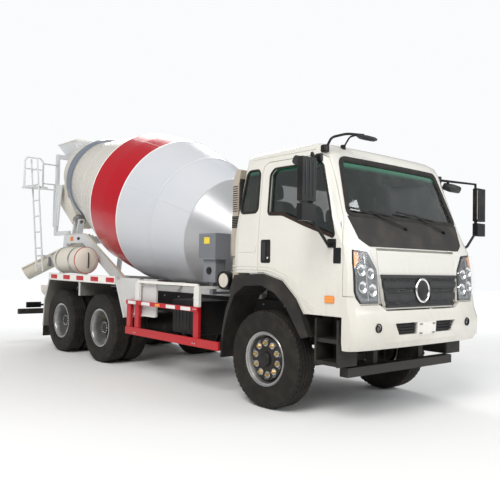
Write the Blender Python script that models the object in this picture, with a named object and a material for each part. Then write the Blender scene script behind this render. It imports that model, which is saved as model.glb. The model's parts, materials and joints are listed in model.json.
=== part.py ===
"""Concrete mixer truck: a six-wheel chassis with a tilting cab and a turning drum, one object for each sub-part.

Lengths are metres. Inside the file, X is measured forward from the front axle, Y to the truck's left and Z up
from the road. The empty named truck then moves everything so that the whole object is centred on the origin.
"""

import math

import bmesh
import bpy
from mathutils import Matrix, Vector

for old_object in list(bpy.data.objects):
    bpy.data.objects.remove(old_object, do_unlink=True)

SIDES = (("right", -1), ("left", 1))

# Overall places
FRONT_AXLE_X = 3.017
BOGIE_FRONT_X = -3.606
BOGIE_REAR_X = -4.958
AXLE_Z = 0.52
GAP = 0.0003
CLEAR = 0.006

# Wheels
TYRE_RADIUS = 0.52
TYRE_STEPS = 20
TYRE_SCALE = 1.0 / math.cos(math.pi / TYRE_STEPS)
FRONT_WHEEL_Y = 1.0
TWIN_WHEEL_Y = 1.012
TWIN_SPACING = 0.312
KINGPIN_Y = 0.875

# Chassis
RAIL_OUT_Y = 0.425
RAIL_IN_Y = 0.345
RAIL_LOW_Z = 0.80
RAIL_TOP_Z = 1.10
RAIL_FRONT_X = 0.86
RAIL_REAR_X = -6.75
SUBFRAME_TOP_Z = 1.19
SUBFRAME_OUT_Y = 0.415
SUBFRAME_END_X = -6.60
STAND_PLATE = (0.355, 0.385)
SADDLE_TOP_Z = 1.365

# Cab
CAB_WALL = 0.06
CAB_FLOOR_Z = 1.16
CAB_PIVOT = (1.02, 0.0, 0.80)
DOOR_HINGE_X = 1.047
DOOR_HINGE_Y = 1.125
LID_HINGE = (1.128, 0.0, 1.70)
STEERING_TILT = math.radians(28)

# Drum: the axis starts at DRUM_START and rises towards the rear
DRUM_START = Vector((-0.9, 0.0, 1.657))
DRUM_TILT = math.radians(16.78)
DRUM_AXIS = Vector((-math.cos(DRUM_TILT), 0, math.sin(DRUM_TILT)))
RING_S = 4.81
RING_RADIUS = 0.80
ROLLER_RADIUS = 0.11
ROLLER_ANGLE = math.radians(30)

# Hopper and discharge chute
UPRIGHT = (0.52, 0.58)
CHUTE_PIVOT = Vector((-6.36, 0.0, 1.95))
CHUTE_HEADING = math.radians(233)
CHUTE_SLOPE = math.radians(28)
CHUTE_LENGTH = 1.33
CHUTE_HALF_WIDTH = 0.20
SWIVEL_POST_TOP = 1.50

# Paint and other finishes: colour, roughness, metallic
FINISHES = {
    "cab_white": ((0.80, 0.78, 0.72), 0.30, 0.0),
    "drum_white": ((0.78, 0.79, 0.80), 0.28, 0.0),
    "chassis_black": ((0.03, 0.03, 0.03), 0.55, 0.0),
    "frame_grey": ((0.42, 0.43, 0.44), 0.45, 0.0),
    "guard_red": ((0.55, 0.03, 0.03), 0.40, 0.0),
    "plastic_brown": ((0.10, 0.085, 0.075), 0.60, 0.0),
    "rubber": ((0.03, 0.03, 0.03), 0.85, 0.0),
    "rim_silver": ((0.60, 0.60, 0.60), 0.40, 0.6),
    "cast_dark": ((0.08, 0.08, 0.08), 0.60, 0.3),
    "glass": ((0.20, 0.26, 0.24), 0.05, 0.0),
    "cab_inside": ((0.30, 0.29, 0.28), 0.70, 0.0),
    "steel": ((0.45, 0.45, 0.45), 0.35, 0.8),
}

collection = bpy.context.scene.collection


truck = bpy.data.objects.new("truck", None)
truck.location.x = FRONT_AXLE_X
collection.objects.link(truck)


def aim(origin, direction, up=(0, 0, 1)):
    """A matrix whose local Z runs along direction and whose local X lies as near to up as it can."""
    z_axis = Vector(direction).normalized()
    x_axis = (Vector(up) - z_axis * Vector(up).dot(z_axis)).normalized()
    y_axis = z_axis.cross(x_axis)
    turn = Matrix((x_axis, y_axis, z_axis)).transposed()
    return Matrix.Translation(origin) @ turn.to_4x4()


# Shapes: each returns a bmesh in the truck's own frame


def box(low, high, place=None):
    shape = bmesh.new()
    bmesh.ops.create_cube(shape, size=1.0)
    size = [high[i] - low[i] for i in range(3)]
    middle = [(high[i] + low[i]) / 2 for i in range(3)]
    bmesh.ops.scale(shape, vec=size, verts=shape.verts)
    bmesh.ops.translate(shape, vec=middle, verts=shape.verts)
    if place:
        bmesh.ops.transform(shape, matrix=place, verts=shape.verts)
    return shape


def prism(outline, axis, low, high, place=None):
    """Extrudes a flat outline along one axis; the outline's two numbers are the other two axes, in order."""
    shape = bmesh.new()
    rest = [i for i in range(3) if i != axis]
    corners = []
    for first, second in outline:
        point = [0.0, 0.0, 0.0]
        point[rest[0]] = first
        point[rest[1]] = second
        point[axis] = low
        corners.append(shape.verts.new(point))
    face = shape.faces.new(corners)
    moved = bmesh.ops.extrude_face_region(shape, geom=[face])["geom"]
    lift = Vector((0, 0, 0))
    lift[axis] = high - low
    bmesh.ops.translate(shape, vec=lift, verts=[v for v in moved if isinstance(v, bmesh.types.BMVert)])
    bmesh.ops.recalc_face_normals(shape, faces=shape.faces)
    if place:
        bmesh.ops.transform(shape, matrix=place, verts=shape.verts)
    return shape


def turned(profile, place, steps, phase=0.0):
    """Spins a profile of (height, radius) about the local Z axis of place."""
    shape = bmesh.new()
    line = [shape.verts.new((radius, 0.0, height)) for height, radius in profile]
    on_axis = profile[0][1] == 0 and profile[-1][1] == 0
    edges = [shape.edges.new(pair) for pair in zip(line, line[1:])]
    if not on_axis:
        edges.append(shape.edges.new((line[-1], line[0])))
    bmesh.ops.spin(
        shape, geom=line + edges, cent=(0, 0, 0), axis=(0, 0, 1), dvec=(0, 0, 0),
        angle=math.tau, steps=steps, use_merge=True,
    )
    bmesh.ops.remove_doubles(shape, verts=shape.verts, dist=0.00005)
    bmesh.ops.recalc_face_normals(shape, faces=shape.faces)
    bmesh.ops.transform(shape, matrix=place @ Matrix.Rotation(phase, 4, "Z"), verts=shape.verts)
    return shape


def rod(start, end, radius, sides=10):
    start = Vector(start)
    length = (Vector(end) - start).length
    up = (0, 0, 1) if abs((Vector(end) - start).normalized().z) < 0.9 else (1, 0, 0)
    return turned([(0, 0), (0, radius), (length, radius), (length, 0)], aim(start, Vector(end) - start, up), sides)


def pipe(points, radius):
    """A round bar that follows straight runs between the points."""
    curve = bpy.data.curves.new("pipe", "CURVE")
    curve.dimensions = "3D"
    curve.bevel_depth = radius
    curve.bevel_resolution = 1
    curve.use_fill_caps = True
    spline = curve.splines.new("POLY")
    spline.points.add(len(points) - 1)
    for spot, point in zip(spline.points, points):
        spot.co = (*point, 1.0)
    guide = bpy.data.objects.new("pipe", curve)
    collection.objects.link(guide)
    graph = bpy.context.evaluated_depsgraph_get()
    mesh = bpy.data.meshes.new_from_object(guide.evaluated_get(graph))
    shape = bmesh.new()
    shape.from_mesh(mesh)
    bmesh.ops.remove_doubles(shape, verts=shape.verts, dist=0.00005)
    bmesh.ops.recalc_face_normals(shape, faces=shape.faces)
    bpy.data.objects.remove(guide, do_unlink=True)
    bpy.data.meshes.remove(mesh)
    return shape


def loft(rings):
    """Skins a list of rings that all have the same number of points, and caps both ends."""
    shape = bmesh.new()
    rows = [[shape.verts.new(point) for point in ring] for ring in rings]
    for lower, upper in zip(rows, rows[1:]):
        for i in range(len(lower)):
            shape.faces.new((lower[i - 1], lower[i], upper[i], upper[i - 1]))
    shape.faces.new(rows[0])
    shape.faces.new(rows[-1])
    bmesh.ops.recalc_face_normals(shape, faces=shape.faces)
    return shape


def side_span(sign, near, far):
    """The low and high Y of what lies between two distances from the truck's middle plane, on one side."""
    return sorted((sign * near, sign * far))


def side_box(sign, x_range, y_range, z_range):
    """A box on one side of the truck; y_range holds distances from the truck's middle plane."""
    low_y, high_y = side_span(sign, *y_range)
    return box((x_range[0], low_y, z_range[0]), (x_range[1], high_y, z_range[1]))


def flip_y(shape):
    """The same shape on the truck's other side."""
    bmesh.ops.scale(shape, vec=(1, -1, 1), verts=shape.verts)
    bmesh.ops.reverse_faces(shape, faces=shape.faces)
    return shape


# Objects


def add_object(name, shape, pivot=None):
    mesh = bpy.data.meshes.new(name)
    bmesh.ops.remove_doubles(shape, verts=shape.verts, dist=0.00001)
    shape.to_mesh(mesh)
    shape.free()
    thing = bpy.data.objects.new(name, mesh)
    collection.objects.link(thing)
    if pivot:
        thing.parent = pivot
        thing.matrix_parent_inverse = pivot.matrix_basis.inverted()
    else:
        thing.parent = truck
    return thing


def node(name, finish, add, cut=(), keep=(), pivot=None, smooth=0.0):
    """One sub-part: its first shape, joined with the others, less the cutters, and held within keep."""
    thing = add_object(name, add[0], pivot)
    steps = [("UNION", shape) for shape in add[1:]]
    steps += [("INTERSECT", shape) for shape in keep]
    steps += [("DIFFERENCE", shape) for shape in cut]
    for number, (operation, shape) in enumerate(steps):
        helper = add_object(f"{name}_{operation.lower()}_{number}", shape, pivot)
        helper.hide_render = True
        helper.display_type = "WIRE"
        modifier = thing.modifiers.new(operation.lower(), "BOOLEAN")
        modifier.operation = operation
        modifier.solver = "EXACT"
        modifier.object = helper
    colour, roughness, metallic = FINISHES[finish]
    material = bpy.data.materials.new(name)
    material.use_nodes = True
    surface = material.node_tree.nodes["Principled BSDF"]
    surface.inputs["Base Color"].default_value = (*colour, 1.0)
    surface.inputs["Roughness"].default_value = roughness
    surface.inputs["Metallic"].default_value = metallic
    thing.data.materials.append(material)
    if smooth:
        thing.data.shade_smooth()
        thing.data.set_sharp_from_angle(angle=math.radians(smooth))
    return thing


def pivot_at(name, place, direction=(0, 0, 1)):
    """An empty on a joint, with its local Z along the joint's axis."""
    up = (1, 0, 0) if abs(Vector(direction).normalized().z) > 0.9 else (0, 0, 1)
    frame = aim(place, direction, up)
    empty = bpy.data.objects.new(name, None)
    collection.objects.link(empty)
    empty.parent = truck
    empty.matrix_basis = frame
    return empty


# Wheels


TYRE_PROFILE = (
    (-0.0975, 0.2705), (0.0975, 0.2705), (0.0975, 0.294), (0.136, 0.37), (0.138, 0.46), (0.112, TYRE_RADIUS),
    (-0.112, TYRE_RADIUS), (-0.138, 0.46), (-0.136, 0.37), (-0.0975, 0.294),
)
RIM_PROFILE = (
    (0.150, 0.0), (0.145, 0.060), (0.100, 0.080), (0.030, 0.236), (0.112, 0.258), (0.114, 0.292), (0.098, 0.2695),
    (-0.098, 0.2695), (-0.114, 0.292), (-0.112, 0.258), (0.000, 0.236), (0.055, 0.140), (0.060, 0.0),
)


def tyre_ring(profile):
    return [(height, radius * TYRE_SCALE) for height, radius in profile]


def twin_profile():
    """Both tyres and both rims of a twin wheel, from the hub's outer end round to its inner side."""
    tyre = [(0.112, 0.292), (0.136, 0.37), (0.138, 0.46), (0.112, TYRE_RADIUS),
            (-0.112, TYRE_RADIUS), (-0.138, 0.46), (-0.136, 0.37), (-0.112, 0.292)]
    hub = [(0.030, 0.0), (0.030, 0.100), (-0.125, 0.125), (-0.130, 0.238), (0.110, 0.258)]
    inside = [(-TWIN_SPACING - 0.110, 0.258), (-0.165, 0.238), (-0.165, 0.0)]
    return hub + tyre + [(height - TWIN_SPACING, radius) for height, radius in tyre] + inside


def make_wheels():
    half_step = math.pi / TYRE_STEPS
    for side, sign in SIDES:
        place = aim((0, sign * FRONT_WHEEL_Y, AXLE_Z), (0, sign, 0))
        pivot = pivot_at(f"pivot_front_wheel_{side}", (0, sign * FRONT_WHEEL_Y, AXLE_Z), (0, sign, 0))
        node(f"front_rim_{side}", "rim_silver", [turned(RIM_PROFILE, place, TYRE_STEPS, half_step)],
             pivot=pivot, smooth=35)
        node(f"front_tyre_{side}", "rubber", [turned(tyre_ring(TYRE_PROFILE), place, TYRE_STEPS, half_step)],
             pivot=pivot, smooth=50)
        for axle, x in (("middle", BOGIE_FRONT_X), ("rear", BOGIE_REAR_X)):
            spot = (x, sign * TWIN_WHEEL_Y, AXLE_Z)
            pivot = pivot_at(f"pivot_{axle}_wheel_{side}", spot, (0, sign, 0))
            profile = tyre_ring(twin_profile())
            node(f"{axle}_twin_wheel_{side}", "rubber",
                 [turned(profile, aim(spot, (0, sign, 0)), TYRE_STEPS, half_step)], pivot=pivot, smooth=50)


# Chassis and running gear


def make_chassis_frame():
    flange = 0.012
    reach = RAIL_OUT_Y - flange / 2
    crosses = [box((x - 0.06, -reach, 0.86), (x + 0.06, reach, 1.04))
               for x in (0.70, -0.98, -2.0, -3.0, -4.282, -5.6, -6.66)]
    rails = []
    for sign in (-1, 1):
        web = (RAIL_OUT_Y - flange) * sign
        edge = RAIL_OUT_Y * sign
        lip = RAIL_IN_Y * sign
        channel = [
            (edge, RAIL_LOW_Z), (lip, RAIL_LOW_Z), (lip, RAIL_LOW_Z + flange), (web, RAIL_LOW_Z + flange),
            (web, RAIL_TOP_Z - flange), (lip, RAIL_TOP_Z - flange), (lip, RAIL_TOP_Z), (edge, RAIL_TOP_Z),
        ]
        rails.append(prism(channel, 0, RAIL_REAR_X, RAIL_FRONT_X))
    # the under-run bars on their brackets, and the tube that carries the cab's tilt joint
    bars = [
        box((0.87, -0.93, 0.45), (0.97, 0.93, 0.542)),
        box((-6.94, -1.12, 0.48), (-6.86, 1.12, 0.58)),
    ]
    for sign in (-1, 1):
        bracket = (0.37, 0.44)
        bars.append(side_box(sign, (0.80, 0.90), bracket, (0.50, 0.95)))
        bars.append(side_box(sign, (0.88, 1.035), bracket, (0.76, 0.84)))
        bars.append(side_box(sign, (-6.90, -6.70), bracket, (0.54, 0.95)))
    pivot_x, _, pivot_z = CAB_PIVOT
    bars.append(rod((pivot_x, -0.42, pivot_z), (pivot_x, 0.42, pivot_z), 0.03))
    node("chassis_frame", "chassis_black", crosses + rails + bars)


def make_subframe():
    cross_z = (1.115, 1.165)
    rail = (0.355, SUBFRAME_OUT_Y)
    add = [box((SUBFRAME_END_X, -SUBFRAME_OUT_Y, cross_z[0]), (-6.45, SUBFRAME_OUT_Y, cross_z[1]))]
    for sign in (-1, 1):
        add.append(side_box(sign, (SUBFRAME_END_X, -0.80), rail, (RAIL_TOP_Z + GAP, SUBFRAME_TOP_Z)))
        stand = [(-1.55, 1.15), (-0.80, 1.15), (-0.80, 1.36), (-0.86, 1.52), (-1.16, 1.52)]
        add.append(prism(stand, 1, *side_span(sign, *STAND_PLATE)))
    for x in (-5.6, -4.3, -3.0, -1.9, -0.9):
        add.append(box((x - 0.05, -0.38, cross_z[0]), (x + 0.05, 0.38, cross_z[1])))
    # saddle under the drum's gearbox
    add.append(box((-1.02, -0.37, 1.30), (-0.88, 0.37, SADDLE_TOP_Z)))
    node("mixer_subframe", "frame_grey", add)


def make_drum_gearbox():
    profile = [
        (-0.155, 0.0), (-0.155, 0.09), (-0.10, 0.10), (-0.08, 0.215), (0.06, 0.265), (0.12, 0.265),
        (0.13, 0.22), (0.235, 0.22), (0.235, 0.0),
    ]
    foot = box((-1.00, -0.30, SADDLE_TOP_Z + GAP), (-0.90, 0.30, 1.56))
    node("drum_gearbox", "cast_dark", [turned(profile, drum_frame(), 20), foot], smooth=35)


def make_engine():
    half = RAIL_IN_Y - GAP
    block = [(-0.78, 0.62), (0.28, 0.62), (0.34, 0.80), (0.34, 1.20), (0.20, 1.33), (-0.60, 1.37), (-0.78, 1.20)]
    node("engine", "cast_dark", [prism(block, 1, -half, half)])


def make_front_axle():
    add = [box((-0.045, -0.80, 0.39), (0.045, 0.80, 0.49))]
    for sign in (-1, 1):
        add.append(side_box(sign, (-0.035, 0.035), (0.78, KINGPIN_Y), (0.44, 0.50)))
        add.append(rod((0, sign * KINGPIN_Y, 0.43), (0, sign * KINGPIN_Y, 0.60), 0.04, 12))
        spring = [
            (-0.80, 0.70), (-0.40, 0.58), (-0.12, 0.485), (0.12, 0.485), (0.40, 0.58), (0.78, 0.70),
            (0.78, RAIL_LOW_Z - GAP), (0.66, RAIL_LOW_Z - GAP), (0.62, 0.72), (0.0, 0.58), (-0.62, 0.72),
            (-0.68, RAIL_LOW_Z - GAP), (-0.80, RAIL_LOW_Z - GAP),
        ]
        add.append(prism(spring, 1, *side_span(sign, RAIL_IN_Y + 0.002, RAIL_OUT_Y - 0.002)))
    node("front_axle", "chassis_black", add)


def make_knuckles():
    for side, sign in SIDES:
        pivot = pivot_at(f"pivot_knuckle_{side}", (0, sign * KINGPIN_Y, AXLE_Z))
        add = [
            side_box(sign, (-0.055, 0.055), (0.82, 0.95), (0.606, 0.65)),
            side_box(sign, (-0.055, 0.055), (0.832, 0.95), (0.375, 0.424)),
            side_box(sign, (-0.065, 0.065), (0.925, 0.96), (0.375, 0.65)),
        ]
        brake_drum = [(0.945, 0.0), (0.945, 0.195), (0.985, 0.20), (0.99, 0.09), (1.045, 0.04), (1.045, 0.0)]
        add.append(turned(brake_drum, aim((0, 0, AXLE_Z), (0, sign, 0)), 20))
        node(f"knuckle_{side}", "cast_dark", add, pivot=pivot, smooth=35)


def make_drive_axles():
    for axle, x in (("middle", BOGIE_FRONT_X), ("rear", BOGIE_REAR_X)):
        half = [(0.0, 0.24), (0.10, 0.23), (0.20, 0.16), (0.30, 0.09), (0.58, 0.085), (0.60, 0.20), (0.842, 0.20)]
        profile = [(-y, r) for y, r in reversed(half)][:-1] + half
        profile = [(-0.842, 0.0)] + profile + [(0.842, 0.0)]
        node(f"{axle}_axle", "chassis_black", [turned(profile, aim((x, 0, AXLE_Z), (0, 1, 0)), 14)], smooth=35)


def make_bogie_suspension():
    middle = (BOGIE_FRONT_X + BOGIE_REAR_X) / 2
    add = [rod((middle, -0.50, 0.68), (middle, 0.50, 0.68), 0.055, 14)]
    for sign in (-1, 1):
        spring = [
            (BOGIE_FRONT_X + 0.10, 0.614), (BOGIE_FRONT_X + 0.10, 0.66), (middle + 0.35, 0.76), (middle, 0.79),
            (middle - 0.35, 0.76), (BOGIE_REAR_X - 0.10, 0.66), (BOGIE_REAR_X - 0.10, 0.614), (middle, 0.614),
        ]
        add.append(prism(spring, 1, *side_span(sign, 0.43, 0.515)))
        add.append(side_box(sign, (middle - 0.12, middle + 0.12), (RAIL_OUT_Y + GAP, 0.50), (0.68, 0.98)))
    node("bogie_suspension", "chassis_black", add)


def make_side_equipment():
    # fuel tank on the left, battery box on the right, silencer on the left behind the tank
    corner = 0.09
    low, high, near, far = 0.60, 1.12, 0.56, 1.10
    outline = []
    for y, z, start in ((far - corner, high - corner, 0), (near + corner, high - corner, 90),
                        (near + corner, low + corner, 180), (far - corner, low + corner, 270)):
        for step in range(4):
            angle = math.radians(start + 30 * step)
            outline.append((y + corner * math.cos(angle), z + corner * math.sin(angle)))
    tank = [prism(outline, 0, -2.05, -0.95)]
    for x in (-1.85, -1.20):
        tank.append(box((x - 0.03, RAIL_OUT_Y + GAP, 0.84), (x + 0.03, 0.62, 1.0)))
    node("fuel_tank", "rim_silver", tank, smooth=35)
    battery = [box((-1.80, -1.05, 0.64), (-1.22, -0.55, 1.06)),
               box((-1.70, -0.60, 0.84), (-1.60, -RAIL_OUT_Y - GAP, 0.95)),
               box((-1.42, -0.60, 0.84), (-1.32, -RAIL_OUT_Y - GAP, 0.95))]
    node("battery_box", "chassis_black", battery)
    silencer = [turned([(0, 0), (0, 0.17), (0.50, 0.17), (0.50, 0)], aim((-2.20, 0.80, 0.83), (-1, 0, 0)), 20),
                box((-2.50, RAIL_OUT_Y + GAP, 0.84), (-2.42, 0.70, 0.92)),
                rod((-2.45, 0.80, 0.70), (-2.45, 0.80, 0.50), 0.05, 12)]
    node("exhaust_silencer", "steel", silencer, smooth=35)


def make_side_guards():
    rail = (1.18, 1.215)
    post = (1.15, 1.19)
    for side, sign in SIDES:
        add = [
            side_box(sign, (-2.72, -2.62), post, (0.53, 1.00)),
            side_box(sign, (-2.71, -0.66), rail, (0.53, 0.63)),
            side_box(sign, (-2.71, -1.06), rail, (0.945, 1.00)),
        ]
        for x in (-2.46, -1.12):
            add.append(side_box(sign, (x - 0.05, x + 0.05), post, (0.56, 1.24)))
            add.append(side_box(sign, (x - 0.03, x + 0.03), (STAND_PLATE[1] + GAP, 1.185), (1.215, 1.25)))
            foot_z = (SUBFRAME_TOP_Z + GAP, 1.23)
            add.append(side_box(sign, (x - 0.025, x + 0.025), (STAND_PLATE[1] + GAP, 0.412), foot_z))
        node(f"side_guard_{side}", "guard_red", add)


# Mudguards and steps


FLARE_OUTER = ((-0.56, 1.20), (-0.47, 1.405), (-0.03, 1.427), (0.255, 1.357), (0.45, 1.187), (0.556, 1.025),
               (0.655, 0.83))
FLARE_INNER = ((0.555, 0.80), (0.45, 0.95), (0.335, 1.105), (0.17, 1.235), (-0.03, 1.305), (-0.31, 1.285),
               (-0.49, 1.165))


def away_from_wheel(points, amount):
    """Moves points of a side view straight away from the front wheel's centre."""
    moved = []
    for x, z in points:
        reach = math.hypot(x, z - AXLE_Z)
        moved.append((x * (1 + amount / reach), AXLE_Z + (z - AXLE_Z) * (1 + amount / reach)))
    return moved


def make_front_mudguards():
    liner = away_from_wheel(FLARE_INNER[::-1], 0.034) + away_from_wheel(FLARE_INNER, 0.010)
    quarter = [(-0.535, 1.225), (-0.475, 1.205), (-0.595, 0.98), (-0.665, 0.75), (-0.69, 0.45), (-0.72, 0.45),
               (-0.70, 0.76), (-0.64, 1.0)]
    for side, sign in SIDES:
        add = [
            prism(FLARE_OUTER + FLARE_INNER, 1, *side_span(sign, 1.075, 1.155)),
            prism(liner, 1, *side_span(sign, 0.72, 1.10)),
            prism(quarter, 1, *side_span(sign, 0.725, 1.13)),
            rod((-0.665, sign * (RAIL_OUT_Y + GAP), 0.93), (-0.665, sign * 0.76, 0.93), 0.022),
        ]
        node(f"front_mudguard_{side}", "plastic_brown", add)


def make_cab_steps():
    for side, sign in SIDES:
        add = [
            side_box(sign, (0.70, 0.975), (0.80, 0.83), (0.56, 1.0)),
            side_box(sign, (0.68, 0.705), (0.81, 1.09), (0.56, 1.01)),
            side_box(sign, (0.955, 0.98), (0.81, 1.09), (0.56, 1.01)),
            side_box(sign, (0.69, 0.97), (0.81, 1.085), (0.565, 0.605)),
            side_box(sign, (0.69, 0.97), (0.81, 1.07), (0.78, 0.82)),
            side_box(sign, (0.76, 0.82), (0.4403, 0.815), (0.84, 0.92)),
        ]
        node(f"cab_step_{side}", "chassis_black", add)


def make_rear_mudguards():
    side_panel = [(-3.05, 1.30), (-2.80, 0.745), (-2.76, 0.745), (-2.76, 0.80), (-2.08, 0.80), (-2.08, 1.30),
                  (-2.40, 1.30), (-2.40, 1.205), (-2.52, 1.205), (-2.52, 1.30)]
    side_view = [
        (-5.30, 1.24), (-5.50, 0.83), (-5.545, 0.38), (-5.565, 0.38), (-5.525, 0.84), (-5.325, 1.27),
        (-3.02, 1.27), (-2.77, 0.75), (-2.80, 0.74), (-3.045, 1.24),
    ]
    width = (0.64, 1.20)
    for side, sign in SIDES:
        add = [
            prism(side_view, 1, *side_span(sign, *width)),
            side_box(sign, (-5.31, -3.02), (1.19, 1.22), (1.20, 1.32)),
            prism(side_panel, 1, *side_span(sign, 1.10, 1.125)),
            side_box(sign, (-4.20, -4.16), width, (0.98, 1.26)),
        ]
        for x in (-5.15, -4.282, -3.3):
            add.append(side_box(sign, (x - 0.03, x + 0.03), (SUBFRAME_OUT_Y + GAP, 0.70), (1.13, 1.17)))
            add.append(side_box(sign, (x - 0.03, x + 0.03), (0.65, 0.70), (1.13, 1.26)))
        node(f"rear_mudguard_{side}", "frame_grey", add)


# Drum, its stand, the hopper and the chute


def drum_frame():
    """Local Z runs up the drum's axis and local X is as near to up as it can be."""
    return aim(DRUM_START, DRUM_AXIS)


def make_drum():
    outer = [
        (0.25, 0.0), (0.25, 0.34), (0.50, 0.45), (1.057, 0.794), (1.70, 0.98), (2.353, 1.126), (2.80, 1.135),
        (3.251, 1.124), (4.74, 0.752), (4.74, RING_RADIUS), (4.88, RING_RADIUS), (4.88, 0.717), (5.00, 0.687),
        (5.00, 0.745), (5.03, 0.745), (5.03, 0.68), (5.35, 0.600), (5.508, 0.585),
    ]
    inner = [
        (5.508, 0.555), (5.35, 0.565), (3.24, 1.08), (2.80, 1.095), (2.36, 1.084), (1.08, 0.752), (0.52, 0.405),
        (0.34, 0.32), (0.34, 0.0),
    ]
    pivot = pivot_at("pivot_drum", DRUM_START, DRUM_AXIS)
    node("drum", "drum_white", [turned(outer + inner, drum_frame(), 36)], pivot=pivot, smooth=40)


def roller_centre(sign):
    """The support roller's centre: below the ring, out from the drum's middle plane by ROLLER_ANGLE."""
    distance = RING_RADIUS + ROLLER_RADIUS + CLEAR
    local = Vector((-distance * math.cos(ROLLER_ANGLE), sign * distance * math.sin(ROLLER_ANGLE), RING_S))
    return drum_frame() @ local


def make_rollers():
    profile = [(-0.10, 0.0), (-0.10, 0.03), (-0.055, 0.03), (-0.055, ROLLER_RADIUS), (0.055, ROLLER_RADIUS),
               (0.055, 0.03), (0.10, 0.03), (0.10, 0.0)]
    for side, sign in SIDES:
        centre = roller_centre(sign)
        pivot = pivot_at(f"pivot_roller_{side}", centre, DRUM_AXIS)
        node(f"roller_{side}", "steel", [turned(profile, aim(centre, DRUM_AXIS), 16)], pivot=pivot, smooth=35)


def make_rear_pedestal():
    frame = drum_frame()
    foot_z = SUBFRAME_TOP_Z + GAP
    side_view = [(-3.60, foot_z), (-5.20, 2.02), (-6.02, 2.02), (-6.12, 1.40), (-6.22, 1.26), (-6.22, foot_z)]
    hollow = [(-4.20, 1.27), (-5.26, 1.86), (-5.90, 1.86), (-6.00, 1.35), (-6.06, 1.27)]
    add = [
        box((-5.72, -0.60, foot_z), (-5.52, 0.60, 1.25)),
        box((-4.40, -0.60, foot_z), (-4.28, 0.60, 1.23)),
        box((-6.20, -0.60, foot_z), (-6.08, 0.60, 1.25)),
        box((-6.45, -0.40, foot_z), (-6.10, 0.40, 1.25)),
        box((-5.96, -0.60, 1.88), (-5.52, 0.60, 2.00)),
    ]
    cut = []
    for sign in (-1, 1):
        add.append(prism(side_view, 1, *side_span(sign, 0.58, 0.62)))
        cut.append(prism(hollow, 1, *side_span(sign, 0.56, 0.64)))
        # two bearing blocks for each roller, square to the drum's axis
        centre = frame.inverted() @ roller_centre(sign)
        for offset in (-0.10, 0.065):
            low = (centre.x - 0.34, centre.y - 0.06, centre.z + offset)
            high = (centre.x + 0.05, centre.y + 0.06, centre.z + offset + 0.035)
            add.append(box(low, high, frame))
        journal = [(-0.11, 0.0), (-0.11, 0.036), (0.11, 0.036), (0.11, 0.0)]
        cut.append(turned(journal, aim(roller_centre(sign), DRUM_AXIS), 16))
    # the post that carries the chute's swivel
    add.append(rod((CHUTE_PIVOT.x, 0, 1.22), (CHUTE_PIVOT.x, 0, SWIVEL_POST_TOP), 0.06, 14))
    node("rear_pedestal", "frame_grey", add, cut=cut)


def funnel_rings(levels):
    """Rectangles (z, rear x, front x, half width), from the bottom up."""
    rings = []
    for z, rear, front, half in levels:
        rings.append([(rear, -half, z), (front, -half, z), (front, half, z), (rear, half, z)])
    return rings


def make_hopper():
    outer = funnel_rings([(3.20, -6.36, -6.14, 0.18), (3.45, -6.50, -6.10, 0.26), (3.86, -6.76, -6.06, 0.46)])
    inner = funnel_rings([(3.15, -6.32, -6.18, 0.14), (3.45, -6.46, -6.14, 0.22), (3.90, -6.75, -6.07, 0.445)])
    side_plate = [(-6.70, 2.20), (-6.46, 2.20), (-6.40, 2.62), (-6.32, 3.0), (-6.70, 3.05)]
    add = [loft(outer)]
    for sign in (-1, 1):
        # an upright, its arm to the hopper, its foot on the pedestal and the discharge opening's side plate
        add.append(side_box(sign, (-6.58, -6.50), UPRIGHT, (2.02, 3.62)))
        add.append(side_box(sign, (-6.58, -6.50), (0.30, UPRIGHT[1]), (3.54, 3.62)))
        add.append(side_box(sign, (-6.56, -5.94), UPRIGHT, (2.02 + GAP, 2.10)))
        add.append(prism(side_plate, 1, *side_span(sign, 0.535, 0.555)))
    node("hopper", "frame_grey", add, cut=[loft(inner)])


def make_discharge_funnel():
    outer = funnel_rings([(2.19, -6.50, -6.22, 0.17), (2.62, -6.66, -6.20, 0.40), (3.02, -6.72, -6.20, 0.50)])
    inner = funnel_rings([(2.10, -6.47, -6.25, 0.14), (2.62, -6.63, -6.23, 0.37), (3.10, -6.69, -6.16, 0.47)])
    around_drum = turned([(4.6, 0.0), (4.6, 0.80), (5.54, 0.64), (5.54, 0.0)], drum_frame(), 32)
    lugs = [side_box(sign, (-6.67, -6.60), (0.42, 0.535 - GAP), (2.80, 2.90)) for sign in (-1, 1)]
    node("discharge_funnel", "frame_grey", [loft(outer)] + lugs, cut=[loft(inner), around_drum])


def chute_frame():
    """Local Z runs down the chute from its pivot; local X is as near to up as it can be."""
    flat = Vector((math.cos(CHUTE_HEADING), math.sin(CHUTE_HEADING), 0))
    along = flat * math.cos(CHUTE_SLOPE) - Vector((0, 0, 1)) * math.sin(CHUTE_SLOPE)
    return aim(CHUTE_PIVOT, along), flat


def trough_outline(half, depth, steps):
    """A half-round trough with straight upper sides, in the plane across the chute."""
    points = [(0.06, half)]
    for step in range(steps + 1):
        angle = math.pi * step / steps
        points.append((-depth * math.sin(angle) if step not in (0, steps) else 0.0, half * math.cos(angle)))
    points.append((0.06, -half))
    return points


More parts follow.
